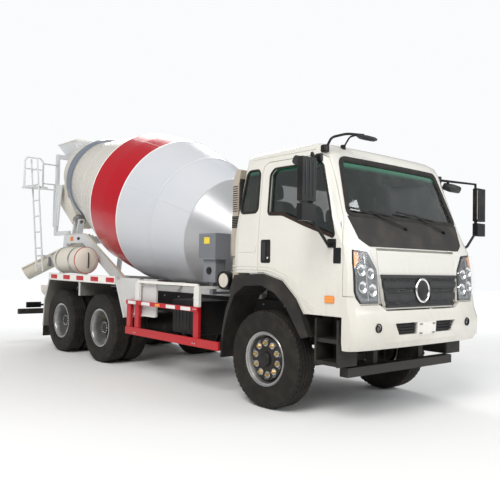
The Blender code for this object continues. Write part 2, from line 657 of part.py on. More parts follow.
def make_chute():
    frame, flat = chute_frame()
    base = Matrix.Translation(CHUTE_PIVOT) @ Matrix.Rotation(CHUTE_HEADING, 4, "Z")
    # swivel: a turntable on the post, a cross bar and two ears for the chute's pin
    ear = (0.257, 0.283)
    swivel = [
        turned([(-0.46, 0.0), (-0.46, 0.115), (-0.43, 0.115), (-0.43, 0.0)], Matrix.Translation(CHUTE_PIVOT), 20),
        box((-0.06, -0.286, -0.447), (0.06, 0.286, -0.417), base),
    ]
    for sign in (-1, 1):
        low, high = side_span(sign, *ear)
        swivel.append(box((-0.045, low, -0.437), (0.045, high, 0.045), base))
    post_x = CHUTE_PIVOT.x
    clearance = rod((post_x, 0, 1.20), (post_x, 0, SWIVEL_POST_TOP + CLEAR), 0.075, 16)
    node("chute_swivel", "frame_grey", swivel, cut=[clearance], pivot=pivot_at("pivot_chute_swivel", CHUTE_PIVOT))
    # trough, with a rolled rim and a pin on each side
    outer = trough_outline(CHUTE_HALF_WIDTH, 0.20, 10)
    inner = trough_outline(CHUTE_HALF_WIDTH - 0.02, 0.18, 10)
    inner[0] = (0.10, inner[0][1])
    inner[-1] = (0.10, inner[-1][1])
    trough = [prism(outer, 2, -0.16, CHUTE_LENGTH, frame)]
    for sign in (-1, 1):
        trough.append(rod(frame @ Vector((0, sign * 0.25, 0)), frame @ Vector((0, sign * 0.19, 0)), 0.025, 12))
        low, high = side_span(sign, 0.19, 0.24)
        trough.append(box((0.032, low, -0.14), (0.052, high, CHUTE_LENGTH - 0.01), frame))
    side_axis = flat.cross(Vector((0, 0, 1)))
    node("discharge_chute", "frame_grey", trough, cut=[prism(inner, 2, -0.20, CHUTE_LENGTH + 0.05, frame)],
         pivot=pivot_at("pivot_chute", CHUTE_PIVOT, side_axis))


def make_extension_chute():
    """The spare length of chute, hung on edge behind the right mudguard."""
    place = aim((-6.05, -0.86, 1.02), (1, 0, 0.0))
    outer = trough_outline(0.18, 0.16, 8)
    inner = trough_outline(0.162, 0.142, 8)
    inner[0] = (0.10, inner[0][1])
    inner[-1] = (0.10, inner[-1][1])
    hook = box((-5.95, -0.75, 1.06), (-5.88, -0.4253, 1.09))
    trough = [prism(outer, 2, 0.0, 0.44, place), hook]
    node("extension_chute", "frame_grey", trough, cut=[prism(inner, 2, -0.05, 0.50, place)])


def make_ladder():
    foot = Vector((-6.08, -1.06, 1.33))
    top = Vector((-6.46, -1.07, 3.47))
    half = 0.14
    add = []
    for sign in (-1, 1):
        shift = Vector((sign * half, 0, 0))
        add.append(pipe([foot + shift, top + shift], 0.018))
    for step in range(7):
        middle = foot.lerp(top, 0.06 + 0.14 * step)
        add.append(rod(middle - Vector((half, 0, 0)), middle + Vector((half, 0, 0)), 0.013, 6))
    hoop_x = -6.50
    hoop = [(hoop_x, -1.235, 2.92), (hoop_x, -1.235, 3.42), (hoop_x, -1.19, 3.49), (hoop_x, -0.93, 3.49),
            (hoop_x, -0.87, 3.42), (hoop_x, -0.87, 2.92)]
    add.append(pipe(hoop, 0.018))
    add.append(rod((hoop_x, -1.235, 3.27), (hoop_x, -0.87, 3.27), 0.012, 6))
    add.append(rod((hoop_x, -0.87, 3.40), (hoop_x, -0.5803, 3.40), 0.014, 6))
    add.append(rod((hoop_x - 0.02, -0.87, 3.02), (hoop_x - 0.02, -0.5803, 3.02), 0.014, 6))
    # standing plate at the top, and the foot's arm to the pedestal
    add.append(box((-6.62, -1.24, 2.90), (-6.28, -0.86, 2.93)))
    add.append(box((-6.57, -0.88, 2.905), (-6.51, -0.5803, 2.925)))
    add.append(box((-6.13, -1.07, 1.60), (-6.07, -0.6203, 1.63)))
    add.append(box((-6.24, -1.078, 1.60), (-5.98, -1.045, 1.63)))
    node("ladder", "frame_grey", add)


def make_water_tank():
    centre = Vector((-5.42, -0.90, 1.545))
    dome = [(0.0, 0.0), (0.0, 0.12), (0.03, 0.19), (0.06, 0.225), (0.87, 0.225), (0.90, 0.19), (0.93, 0.12), (0.93, 0.0)]
    add = [turned(dome, aim(centre, (1, 0, 0)), 24)]
    for x in (-5.30, -4.80):
        add.append(box((x - 0.03, -0.76, 1.40), (x + 0.03, -0.6203, 1.46)))
    node("water_tank", "drum_white", add, smooth=40)


def make_cab_rear_equipment():
    cooler = [box((-1.31, -1.02, 1.58), (-0.98, -0.78, 1.90)),
              box((-1.27, -0.84, 1.145), (-1.22, -SUBFRAME_OUT_Y - GAP, 1.175)),
              box((-1.28, -0.86, 1.14), (-1.21, -0.80, 1.66)),
              box((-1.26, -0.98, 1.30), (-1.02, -0.82, 1.60))]
    node("oil_cooler", "frame_grey", cooler)
    intake = [
        prism([(-0.70, 1.62), (-0.60, 1.62), (-0.60, 2.45), (-0.56, 2.62), (-0.63, 2.64), (-0.70, 2.50)], 1, -1.00, -0.76),
        prism([(-0.71, 1.30), (-0.61, 1.30), (-0.61, 1.64), (-0.71, 1.64)], 1, -0.97, -0.79),
        turned([(0.0, 0.0), (0.0, 0.11), (0.30, 0.11), (0.30, 0.0)], aim((-0.86, -0.98, 1.33), (0, 1, 0)), 20),
        box((-0.80, -0.88, 1.28), (-0.66, -0.84, 1.38)),
        box((-0.88, -0.70, 1.145), (-0.82, -SUBFRAME_OUT_Y - GAP, 1.175)),
        box((-0.88, -0.74, 1.145), (-0.82, -0.69, 1.35)),
    ]
    node("air_intake", "plastic_brown", intake)


# Cab


CAB_LEVELS = (
    # z, front x, rear x, half width, how much the front corners are rounded
    (1.04, 1.165, -0.555, 1.12, 0.35),
    (1.47, 1.144, -0.555, 1.12, 0.35),
    (1.71, 1.120, -0.550, 1.12, 0.55),
    (1.80, 1.088, -0.547, 1.12, 0.75),
    (1.99, 1.020, -0.535, 1.107, 0.95),
    (2.65, 0.775, -0.430, 1.058, 0.75),
    (2.72, 0.735, -0.415, 1.045, 0.75),
    (2.77, 0.660, -0.370, 0.990, 0.75),
    (2.80, 0.500, -0.250, 0.850, 0.75),
)
FRONT_CURVE = ((0.0, 0.0), (0.38, 0.006), (0.74, 0.022), (0.90, 0.045), (0.97, 0.080), (1.0, 0.125))
BUMPER_LEVELS = (
    (0.735, 1.195, 0.95, 1.125, 0.7),
    (0.80, 1.225, 0.95, 1.138, 0.6),
    (0.98, 1.235, 0.95, 1.138, 0.6),
    (1.10, 1.195, 0.95, 1.135, 0.6),
    (1.26, 1.175, 0.95, 1.130, 0.6),
)


def level_at(levels, z):
    for low, high in zip(levels, levels[1:]):
        if low[0] <= z <= high[0]:
            part = (z - low[0]) / (high[0] - low[0])
            return [a + (b - a) * part for a, b in zip(low, high)]
    return list(levels[0] if z < levels[0][0] else levels[-1])


def plan_outline(level, front_in, side_in, rear_in):
    """The cab's outline from above at one height, optionally moved inwards."""
    z, front, rear, half, rounding = level
    front -= front_in
    rear += rear_in
    half -= side_in
    side = [(front - recess * rounding, half * share, z) for share, recess in FRONT_CURVE]
    side += [(rear + 0.10, half, z), (rear + 0.03, half - 0.02, z), (rear, half - 0.10, z)]
    return side + [(x, -y, z) for x, y, z in reversed(side[1:])]


def body_loft(levels, front_in=0.0, side_in=0.0, rear_in=0.0):
    return loft([plan_outline(level, front_in, side_in, rear_in) for level in levels])


def front_slab(heights, half_width, outer, inner):
    """A curved slab that follows the cab's front: offsets outer and inner are measured back from the surface."""
    rings = []
    for z in heights:
        _, front, _, half, rounding = level_at(CAB_LEVELS, z)
        row = []
        for share in (-1.0, -0.8, -0.6, -0.4, -0.2, 0.0, 0.2, 0.4, 0.6, 0.8, 1.0):
            y = half_width * share
            part = min(abs(y) / half, 1.0)
            recess = 0.0
            for (low_share, low_recess), (high_share, high_recess) in zip(FRONT_CURVE, FRONT_CURVE[1:]):
                if low_share <= part <= high_share:
                    recess = low_recess + (high_recess - low_recess) * (part - low_share) / (high_share - low_share)
            row.append((front - recess * rounding, y))
        ring = [(x - outer, y, z) for x, y in row] + [(x - inner, y, z) for x, y in reversed(row)]
        rings.append(ring)
    return loft(rings)


def grow(outline, amount):
    """Offsets a closed outline: each side moves outwards by amount, or inwards where amount is negative."""
    count = len(outline)
    area = sum(outline[i - 1][0] * outline[i][1] - outline[i][0] * outline[i - 1][1] for i in range(count))
    hand = 1 if area > 0 else -1
    normals = []
    for i in range(count):
        along = (Vector(outline[(i + 1) % count]) - Vector(outline[i])).normalized()
        normals.append(Vector((along.y, -along.x)) * hand)
    grown = []
    for i in range(count):
        before, after = normals[i - 1], normals[i]
        shift = (before + after) * (amount / (1 + before.dot(after)))
        grown.append((outline[i][0] + shift.x, outline[i][1] + shift.y))
    return grown


ARCH = ((-0.70, 0.90), (-0.70, 1.432), (-0.03, 1.432), (0.258, 1.362), (0.455, 1.19), (0.565, 1.03), (0.565, 0.90))
DOOR = ((-0.12, 1.444), (-0.12, 2.52), (-0.095, 2.60), (-0.03, 2.635), (0.70, 2.635), (0.752, 2.60), (0.975, 1.95),
        (1.042, 1.70), (1.042, 1.045), (0.574, 1.045), (0.468, 1.20), (0.268, 1.374), (-0.03, 1.444))
DOOR_WINDOW = ((0.0, 2.09), (0.03, 2.062), (0.22, 2.052), (0.54, 1.93), (0.92, 1.80), (0.935, 1.83), (0.735, 2.53),
               (0.70, 2.56), (0.06, 2.56), (0.0, 2.50))
QUARTER_WINDOW = ((-0.44, 2.14), (-0.41, 2.10), (-0.19, 2.10), (-0.16, 2.14), (-0.16, 2.53), (-0.19, 2.57),
                  (-0.33, 2.57), (-0.37, 2.53))
WINDSCREEN = ((-0.955, 2.02), (0.955, 2.02), (0.845, 2.61), (-0.845, 2.61))
LID = ((-0.60, 1.108), (0.60, 1.108), (0.70, 1.46), (0.70, 1.69), (-0.70, 1.69), (-0.70, 1.46))
BUMPER_TOP = ((-1.3, 1.244), (-1.06, 1.244), (-1.0, 1.1643), (-0.72, 1.1643), (-0.62, 1.104), (0.62, 1.104),
              (0.72, 1.1643), (1.0, 1.1643), (1.06, 1.244), (1.3, 1.244), (1.3, 0.6), (-1.3, 0.6))


LID_HEIGHTS = (1.05, 1.30, 1.47, 1.71)
DOOR_REACH = (0.985, 1.3)


def cab_inside(heights, front_in):
    """The inside of the cab's walls at the given heights."""
    return body_loft([level_at(CAB_LEVELS, z) for z in heights], front_in, CAB_WALL, 0.05)


def make_cab_shell(tilt):
    inside_y = 1.12 - CAB_WALL
    footwell = [(0.535, 1.22), (1.0, 1.22), (1.0, 1.60), (0.535, 1.60)]
    cut = [
        prism(ARCH, 1, -1.3, 1.3),
        box((-0.80, -1.055, 0.9), (1.4, 1.055, CAB_FLOOR_Z)),
        prism(BUMPER_TOP, 0, 1.046, 1.4),
        front_slab(LID_HEIGHTS, 0.704, -0.10, 0.045),
        prism(footwell, 1, -inside_y, inside_y),
        prism(WINDSCREEN, 0, 0.5, 1.4),
    ]
    for sign in (-1, 1):
        cut.append(prism(grow(DOOR, CLEAR), 1, *side_span(sign, DOOR_REACH[0] - CLEAR, DOOR_REACH[1])))
        cut.append(prism(QUARTER_WINDOW, 1, *side_span(sign, 0.95, 1.3)))
    # the rear window, then the room above the raised floor
    cut.append(box((-0.80, -0.55, 2.10), (-0.30, 0.55, 2.48)))
    cut.append(cab_inside((1.49, 1.71, 1.80, 1.99, 2.65, 2.745), 0.11))
    node("cab_shell", "cab_white", [body_loft(CAB_LEVELS)], cut=cut, pivot=tilt)


def make_windscreen(tilt):
    glass = front_slab((1.995, 2.64), 1.03, 0.012, 0.020)
    node("windscreen", "glass", [glass], keep=[prism(grow(WINDSCREEN, -0.001), 0, 0.5, 1.4)], pivot=tilt)


def make_front_lid():
    slab = front_slab(LID_HEIGHTS, 0.72, -0.004, 0.036)
    node("front_lid", "cab_white", [slab], keep=[prism(grow(LID, -0.003), 0, 0.9, 1.4)],
         pivot=pivot_at("pivot_front_lid", LID_HINGE, (0, -1, 0)))


def make_bumper(tilt):
    outline = [(y, z - 0.0045 if z > 0.7 else z) for y, z in BUMPER_TOP]
    inner_levels = [(0.60, 1.195, 0.80, 1.125, 0.7), *BUMPER_LEVELS[1:], (1.40, 1.17, 0.8, 1.13, 0.6)]
    cut = [body_loft(inner_levels, 0.05, 0.05), box((0.5, -1.3, 0.5), (1.052, 1.3, 1.5))]
    for sign in (-1, 1):
        grille = [(sign * 0.17, 0.865), (sign * 0.47, 0.865), (sign * 0.54, 0.98), (sign * 0.17, 0.98)]
        cut.append(prism(grille, 0, 1.0, 1.4))
    node("front_bumper", "cab_white", [body_loft(BUMPER_LEVELS)], keep=[prism(outline, 0, 0.5, 1.5)],
         cut=cut, pivot=tilt)


def make_doors():
    upper_lean = (1.12 - 1.058) / (2.65 - 1.80)
    hinges = {}
    for side, sign in SIDES:
        hinge = pivot_at(f"pivot_door_{side}", (DOOR_HINGE_X, sign * DOOR_HINGE_Y, 0), (0, 0, -sign))
        hinges[side] = hinge
        reach = side_span(sign, *DOOR_REACH)
        cut = [cab_inside((0.95, 1.04, 1.47, 1.71, 1.80, 1.99, 2.65, 2.745), 0.055),
               prism(DOOR_WINDOW, 1, *reach)]
        node(f"door_{side}", "cab_white", [body_loft(CAB_LEVELS)], keep=[prism(DOOR, 1, *reach)], cut=cut,
             pivot=hinge)
        # the glass leans inwards with the door's upper half
        pane = prism(grow(DOOR_WINDOW, -0.001), 1, 1.078, 1.084)
        for corner in pane.verts:
            corner.co.y -= max(0.0, corner.co.z - 1.80) * upper_lean
        if sign < 0:
            flip_y(pane)
        node(f"door_glass_{side}", "glass", [pane], pivot=hinge)
    return hinges


def make_cab_inside(tilt):
    dash = [(0.76, 1.81), (0.60, 1.78), (0.58, 1.60), (0.72, 1.50), (0.88, 1.50), (0.88, 1.83), (0.82, 1.86)]
    node("dashboard", "cab_inside", [prism(dash, 1, -1.03, 1.03)], pivot=tilt)
    add = [box((-0.50, -0.30, 1.4903), (0.30, 0.30, 1.60))]
    for middle in (-0.62, 0.62):
        low, high = middle - 0.26, middle + 0.26
        add.append(box((-0.30, middle - 0.18, 1.4903), (0.20, middle + 0.18, 1.80)))
        add.append(box((-0.32, low, 1.72), (0.26, high, 1.90)))
        add.append(prism([(-0.36, 1.76), (-0.22, 1.76), (-0.30, 2.40), (-0.40, 2.40)], 1, low, high))
        add.append(prism([(-0.405, 2.38), (-0.305, 2.38), (-0.31, 2.56), (-0.39, 2.56)], 1, middle - 0.14, middle + 0.14))
        add.append(side_box(math.copysign(1, middle), (-0.10, 0.10), (0.28, 0.50), (1.50, 1.58)))
    node("cab_seats", "cab_inside", add, pivot=tilt)


def make_steering_wheel():
    centre = Vector((0.47, 0.62, 2.03))
    axis = Vector((-math.sin(STEERING_TILT), 0, math.cos(STEERING_TILT)))
    pivot = pivot_at("pivot_steering_wheel", centre, axis)
    place = aim(centre, axis, (1, 0, 0))
    ring = []
    for step in range(6):
        angle = math.tau * step / 6
        ring.append((0.016 * math.sin(angle), 0.225 + 0.016 * math.cos(angle)))
    add = [turned(ring, place, 20)]
    add.append(turned([(-0.16, 0.0), (-0.16, 0.03), (-0.03, 0.05), (0.02, 0.05), (0.02, 0.0)], place, 14))
    for angle in (90, 210, 330):
        spoke = place @ Matrix.Rotation(math.radians(angle), 4, "Z")
        add.append(box((0.03, -0.018, -0.008), (0.225, 0.018, 0.008), spoke))
    node("steering_wheel", "cab_inside", add, pivot=pivot, smooth=40)


def make_mirrors(doors):
    """The mirrors on their arms, which turn with the doors."""
    for side, sign in SIDES:
        add = [
            box((0.93, 1.455, 2.11), (0.995, 1.635, 2.51)),
            box((0.93, 1.455, 1.93), (0.995, 1.635, 2.085)),
            pipe([(0.955, 1.47, 2.55), (0.955, 1.47, 2.00), (0.96, 1.47, 1.97)], 0.016),
            pipe([(0.69, 1.0638, 2.60), (0.69, 1.15, 2.60), (0.955, 1.47, 2.56), (0.955, 1.47, 2.50)], 0.016),
            pipe([(0.915, 1.1204, 1.73), (0.915, 1.19, 1.73), (0.95, 1.30, 1.80), (0.955, 1.47, 1.96),
                  (0.955, 1.47, 2.05)], 0.016),
            box((0.945, 1.46, 2.06), (0.965, 1.50, 2.14)),
        ]
        if sign < 0:
            add = [flip_y(shape) for shape in add]
        node(f"mirror_{side}", "plastic_brown", add, pivot=doors[side])


def make_cab():
    tilt = pivot_at("pivot_cab", CAB_PIVOT, (0, 1, 0))
    make_cab_shell(tilt)
    make_windscreen(tilt)
    make_front_lid()
    make_bumper(tilt)
    doors = make_doors()
    make_cab_inside(tilt)
    make_steering_wheel()
    make_mirrors(doors)


make_wheels()
make_chassis_frame()
make_subframe()
make_drum_gearbox()
make_engine()
make_front_axle()
make_knuckles()
make_drive_axles()
make_bogie_suspension()
make_side_equipment()
make_side_guards()
make_front_mudguards()
make_cab_steps()
make_rear_mudguards()
make_drum()
make_rollers()
make_rear_pedestal()
make_hopper()
make_discharge_funnel()
make_chute()
make_extension_chute()
make_ladder()
make_water_tank()
make_cab_rear_equipment()
make_cab()
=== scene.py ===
"""Looks of a concrete mixer truck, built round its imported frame.

Lengths are metres. Places are given from the middle of the front axle on the ground: X forward, Y to the
left, Z up. The function piece moves them into the frame's own coordinates.
"""

import json
import math

import bmesh
import bpy
import numpy as np
from bpy.props import FloatProperty, FloatVectorProperty, IntProperty, PointerProperty
from bpy.types import Operator, Panel, PropertyGroup
from mathutils import Matrix, Vector

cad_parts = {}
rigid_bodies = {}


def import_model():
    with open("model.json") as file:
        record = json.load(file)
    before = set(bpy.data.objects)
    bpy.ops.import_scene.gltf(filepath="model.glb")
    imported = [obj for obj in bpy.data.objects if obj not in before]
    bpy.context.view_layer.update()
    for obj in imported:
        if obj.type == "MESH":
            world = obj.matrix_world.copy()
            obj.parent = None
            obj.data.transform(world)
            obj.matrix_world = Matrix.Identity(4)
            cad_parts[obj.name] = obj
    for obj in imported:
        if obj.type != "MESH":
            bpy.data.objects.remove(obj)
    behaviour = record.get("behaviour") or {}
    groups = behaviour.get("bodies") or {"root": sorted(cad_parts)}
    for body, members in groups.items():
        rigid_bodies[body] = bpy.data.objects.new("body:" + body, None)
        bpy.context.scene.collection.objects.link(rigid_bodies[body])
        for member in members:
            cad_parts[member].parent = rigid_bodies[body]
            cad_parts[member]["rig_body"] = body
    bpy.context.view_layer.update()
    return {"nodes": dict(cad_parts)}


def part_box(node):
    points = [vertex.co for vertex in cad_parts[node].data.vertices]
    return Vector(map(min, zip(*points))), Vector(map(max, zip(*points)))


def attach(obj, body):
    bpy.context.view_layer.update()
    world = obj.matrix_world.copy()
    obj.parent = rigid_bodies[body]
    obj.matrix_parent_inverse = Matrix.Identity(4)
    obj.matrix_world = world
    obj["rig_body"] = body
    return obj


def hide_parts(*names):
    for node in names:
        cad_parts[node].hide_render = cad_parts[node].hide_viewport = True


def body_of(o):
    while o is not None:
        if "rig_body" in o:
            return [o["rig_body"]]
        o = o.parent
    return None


bl_info = {
    "name": "Concrete Mixer Truck",
    "version": (1, 0, 0),
    "blender": (4, 5, 0),
    "location": "View3D > Sidebar > Mixer",
    "description": "Tyres, cab trim, drum and fittings of a concrete mixer truck",
    "category": "Add Mesh",
}

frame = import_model()
SIDES = (("right", -1), ("left", 1))

FRONT_X = sum(corner.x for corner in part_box("front_tyre_right")) / 2
AXLE_Z = sum(corner.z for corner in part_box("front_tyre_right")) / 2
FRONT_WHEEL_Y = sum(corner.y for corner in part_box("front_tyre_left")) / 2
MIDDLE_X = sum(corner.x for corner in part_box("middle_twin_wheel_left")) / 2 - FRONT_X
REAR_X = sum(corner.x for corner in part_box("rear_twin_wheel_left")) / 2 - FRONT_X
TYRE_RADIUS = AXLE_Z
TWIN_WHEEL_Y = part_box("middle_twin_wheel_left")[1].y - 0.138
TWIN_SPACING = 0.312

DRUM_START = np.array((-0.9, 0.0, 1.657))
DRUM_TILT = math.radians(16.78)
DRUM_AXIS = np.array((-math.cos(DRUM_TILT), 0.0, math.sin(DRUM_TILT)))

# The cab's outline: height, front X, rear X, half width and how much the front corners are rounded
CAB_TABLE = np.array((
    (0.735, 1.195, -0.555, 1.12, 0.35),
    (1.04, 1.165, -0.555, 1.12, 0.35),
    (1.47, 1.144, -0.555, 1.12, 0.35),
    (1.71, 1.120, -0.550, 1.12, 0.55),
    (1.80, 1.088, -0.547, 1.12, 0.75),
    (1.99, 1.020, -0.535, 1.107, 0.95),
    (2.65, 0.775, -0.430, 1.058, 0.75),
    (2.72, 0.735, -0.415, 1.045, 0.75),
    (2.80, 0.500, -0.250, 0.850, 0.75),
))
CORNER_CURVE = np.array(((0.0, 0.0), (0.38, 0.006), (0.74, 0.022), (0.90, 0.045), (0.97, 0.080),
                         (1.0, 0.125)))


# Properties


def colour(name, description, default):
    return FloatVectorProperty(name=name, description=description, subtype="COLOR", size=3, min=0.0, max=1.0,
                               default=default)


class MixerColours(PropertyGroup):
    """Paints and finishes that a user would change."""

    cab: colour("Cab", "Paint of the cab, doors and bumper", (0.70, 0.685, 0.63))
    drum: colour("Drum", "Paint of the drum", (0.56, 0.57, 0.595))
    band: colour("Band", "Stripe round the drum's belly", (0.46, 0.0010, 0.010))
    fittings: colour("Fittings", "Paint of the mixer's frame, hopper and chute", (0.66, 0.67, 0.68))
    guard: colour("Side guard", "Paint of the side guards", (0.48, 0.003, 0.012))
    plastic: colour("Plastic", "Moulded flares, cowl and air intake", (0.021, 0.0185, 0.017))


class MixerSizes(PropertyGroup):
    """Sizes and counts that a user would change."""

    tread_depth: FloatProperty(name="Tread depth", description="Depth of the tyres' grooves",
                               subtype="DISTANCE",
                               default=0.013, min=0.002, max=0.03)
    tread_blocks: IntProperty(name="Tread blocks", description="Shoulder blocks round a tyre", default=56,
                              min=12,
                              max=90)
    wheel_nuts: IntProperty(name="Wheel nuts", description="Nuts on each wheel", default=10, min=4, max=12)
    weld_height: FloatProperty(name="Weld height", description="How far the drum's weld beads stand out",
                               subtype="DISTANCE", default=0.004, min=0.0, max=0.01)
    seal_radius: FloatProperty(name="Seal radius", description="Half the thickness of the window seals",
                               subtype="DISTANCE", default=0.013, min=0.004, max=0.03)
    floor_size: FloatProperty(name="Floor size", description="Side of the studio floor", subtype="DISTANCE",
                              default=80.0, min=20.0, max=200.0)


# Surfaces


class Shape:
    """Points and faces that can be added together into one mesh."""

    def __init__(self, points, faces):
        self.points = np.asarray(points, float).reshape(-1, 3)
        self.faces = [tuple(int(i) for i in face) for face in faces]

    def __add__(self, other):
        shift = len(self.points)
        moved = [tuple(i + shift for i in face) for face in other.faces]
        return Shape(np.vstack((self.points, other.points)), self.faces + moved)

    def moved(self, offset):
        return Shape(self.points + np.asarray(offset, float), self.faces)

    def mirrored(self):
        """The same shape on the truck's other side."""
        return Shape(self.points * (1, -1, 1), [face[::-1] for face in self.faces])


def joined(shapes):
    shapes = list(shapes)
    whole = shapes[0]
    for shape in shapes[1:]:
        whole = whole + shape
    return whole


def surface(points, round_u=False, round_v=False, caps=False):
    """Faces over a grid of points: each face joins neighbours along both parameters."""
    rows, columns = points.shape[:2]
    index = np.arange(rows * columns).reshape(rows, columns)
    if round_u:
        index = np.vstack((index, index[:1]))
    if round_v:
        index = np.hstack((index, index[:, :1]))
    quads = np.stack((index[:-1, :-1], index[1:, :-1], index[1:, 1:], index[:-1, 1:]), axis=-1).reshape(-1, 4)
    faces = list(quads)
    if caps:
        faces.append(tuple(range(columns))[::-1])
        faces.append(tuple(range((rows - 1) * columns, rows * columns)))
    return Shape(points.reshape(-1, 3), faces)


def directions(axis, up=(0.0, 0.0, 1.0)):
    """The axis and two directions square to it."""
    axis = np.asarray(axis, float)
    axis = axis / np.linalg.norm(axis)
    up = np.asarray(up, float)
    if abs(axis @ up) > 0.95:
        up = np.array((1.0, 0.0, 0.0))
    first = up - axis * (axis @ up)
    first /= np.linalg.norm(first)
    return axis, first, np.cross(axis, first)


def turned(profile, origin, axis, steps):
    """A grid of points: a profile of (height h, radius r) turned round an axis.

    A point is origin + h axis + r (cos t first + sin t second).
    """
    axis, first, second = directions(axis)
    height, radius = np.asarray(profile, float).T
    turn = np.arange(steps) * math.tau / steps
    ring = np.cos(turn)[:, None] * first + np.sin(turn)[:, None] * second
    return np.asarray(origin, float) + height[:, None, None] * axis + radius[:, None, None] * ring[None]


def revolved(profile, origin, axis, steps=64):
    """An open profile turned round an axis, with flat ends where it stops short of the axis."""
    open_ends = profile[0][1] > 0 or profile[-1][1] > 0
    return surface(turned(profile, origin, axis, steps), round_v=True, caps=open_ends)


def ring_solid(profile, origin, axis, steps=64):
    """A closed profile turned round an axis, like a tyre or a washer."""
    return surface(turned(profile, origin, axis, steps), round_u=True, round_v=True)


def plate_between(front, back):
    """A closed plate between two grids of points of the same size."""
    rim = np.stack([np.concatenate((g[0], g[1:, -1], g[-1, -2::-1], g[-2:0:-1, 0])) for g in (front, back)])
    return surface(front) + surface(back) + surface(rim, round_v=True)


def rounded_corner(before, corner, after, reach_in, reach_out, steps):
    """A parabola that cuts a corner, between two points at these distances from it."""
    t = np.linspace(0, 1, steps + 1)[:, None]
    start = corner + (before - corner) / np.linalg.norm(before - corner) * reach_in
    end = corner + (after - corner) / np.linalg.norm(after - corner) * reach_out
    return (1 - t) ** 2 * start + 2 * t * (1 - t) * corner + t ** 2 * end


def rounded_path(points, radius, steps=5):
    """A path with its corners rounded, starting radius away from each of them."""
    points = np.asarray(points, float)
    path = [points[:1]]
    for before, corner, after in zip(points, points[1:], points[2:]):
        reach_in = min(radius, np.linalg.norm(corner - before) * 0.49)
        reach_out = min(radius, np.linalg.norm(after - corner) * 0.49)
        path.append(rounded_corner(before, corner, after, reach_in, reach_out, steps))
    path.append(points[-1:])
    return np.vstack(path)


def swept(path, section, up=(0.0, 0.0, 1.0), closed=False):
    """A flat section of (across, along up) carried along a path, square to the path at every point."""
    path = np.asarray(path, float)
    section = np.asarray(section, float)
    if closed:
        ahead = np.roll(path, -1, axis=0) - np.roll(path, 1, axis=0)
    else:
        ahead = np.gradient(path, axis=0)
    ahead /= np.linalg.norm(ahead, axis=1)[:, None]
    up = np.broadcast_to(np.asarray(up, float), path.shape)
    rise = up - ahead * np.sum(up * ahead, axis=1)[:, None]
    weak = np.linalg.norm(rise, axis=1) < 0.05
    other = np.broadcast_to((1.0, 0.0, 0.0), path.shape)
    rise = np.where(weak[:, None], other - ahead * np.sum(other * ahead, axis=1)[:, None], rise)
    rise /= np.linalg.norm(rise, axis=1)[:, None]
    across = np.cross(ahead, rise)
    points = path[:, None] + section[None, :, :1] * across[:, None] + section[None, :, 1:] * rise[:, None]
    return surface(points, round_u=closed, round_v=True, caps=not closed)


def circle(radius, sides=10):
    turn = np.arange(sides) * math.tau / sides
    return np.stack((np.cos(turn), np.sin(turn)), axis=1) * radius


def tube(points, radius, bend=0.05):
    """A round bar along a path whose corners are rounded."""
    return swept(rounded_path(points, bend), circle(radius))


def block(low, high, radius=0.004, steps=2):
    """A box with round edges: a point of the box is pushed out from the nearest point of a smaller box."""
    low, high = np.asarray(low, float), np.asarray(high, float)
    radius = min(radius, float((high - low).min()) * 0.49)
    edge = radius * np.linspace(0, 1, steps + 1)
    shapes = []
    for axis in range(3):
        u, v = [i for i in range(3) if i != axis]
        along_u = np.concatenate((low[u] + edge, high[u] - edge[::-1]))
        along_v = np.concatenate((low[v] + edge, high[v] - edge[::-1]))
        for value in (low[axis], high[axis]):
            grid = np.empty((len(along_u), len(along_v), 3))
            grid[..., u] = along_u[:, None]
            grid[..., v] = along_v[None]
            grid[..., axis] = value
            inner = np.clip(grid, low + radius, high - radius)
            away = grid - inner
            length = np.linalg.norm(away, axis=-1, keepdims=True)
            shapes.append(surface(inner + away / np.maximum(length, 1e-9) * radius))
    return joined(shapes)


def side_block(sign, x_range, y_range, z_range, radius=0.004):
    """A rounded box on one side of the truck, with Y given from the middle plane."""
    low, high = sorted((sign * y_range[0], sign * y_range[1]))
    return block((x_range[0], low, z_range[0]), (x_range[1], high, z_range[1]), radius)


def slab(outline, axis, low, high):
    """A flat outline given thickness along one axis."""
    outline = np.asarray(outline, float)
    rest = [i for i in range(3) if i != axis]
    points = np.empty((2, len(outline), 3))
    points[..., rest[0]] = outline[:, 0]
    points[..., rest[1]] = outline[:, 1]
    points[0, :, axis] = low
    points[1, :, axis] = high
    return surface(points, round_v=True, caps=True)


def placed(shape, origin, axis, up=(0.0, 0.0, 1.0)):
    """Turns a shape made round the origin so that its Z runs along axis and its X along up."""
    axis, first, second = directions(axis, up)
    basis = np.stack((first, second, axis))
    return Shape(shape.points @ basis + np.asarray(origin, float), shape.faces)


def hexagon_nut(radius, height):
    """Six sides with a chamfered top, standing on the origin along Z."""
    turn = np.arange(6) * math.tau / 6
    ring = np.stack((np.cos(turn), np.sin(turn), np.zeros(6)), axis=1)
    levels = ((0.0, 1.0), (height * 0.82, 1.0), (height, 0.80))
    points = np.stack([ring * radius * scale + (0, 0, z) for z, scale in levels])
    return surface(points, round_v=True, caps=True)


def around(shape, count, origin, axis, start=0.0):
    """Copies of a shape turned about an axis, evenly spaced."""
    copies = []
    for step in range(count):
        turn = np.array(Matrix.Rotation(start + math.tau * step / count, 3, Vector(axis)))
        copies.append(Shape((shape.points - origin) @ turn.T + origin, shape.faces))
    return joined(copies)


# The cab's own surfaces


def cab_front(y, z):
    """How far forward the cab's front is at a width and height: the front line less the corner's recess."""
    front, half, rounding = (np.interp(z, CAB_TABLE[:, 0], CAB_TABLE[:, i]) for i in (1, 3, 4))
    recess = np.interp(np.minimum(np.abs(y) / half, 1.0), CORNER_CURVE[:, 0], CORNER_CURVE[:, 1])
    return front - recess * rounding


def cab_side(z):
    """Half the cab's width at a height."""
    return np.interp(z, CAB_TABLE[:, 0], CAB_TABLE[:, 3])


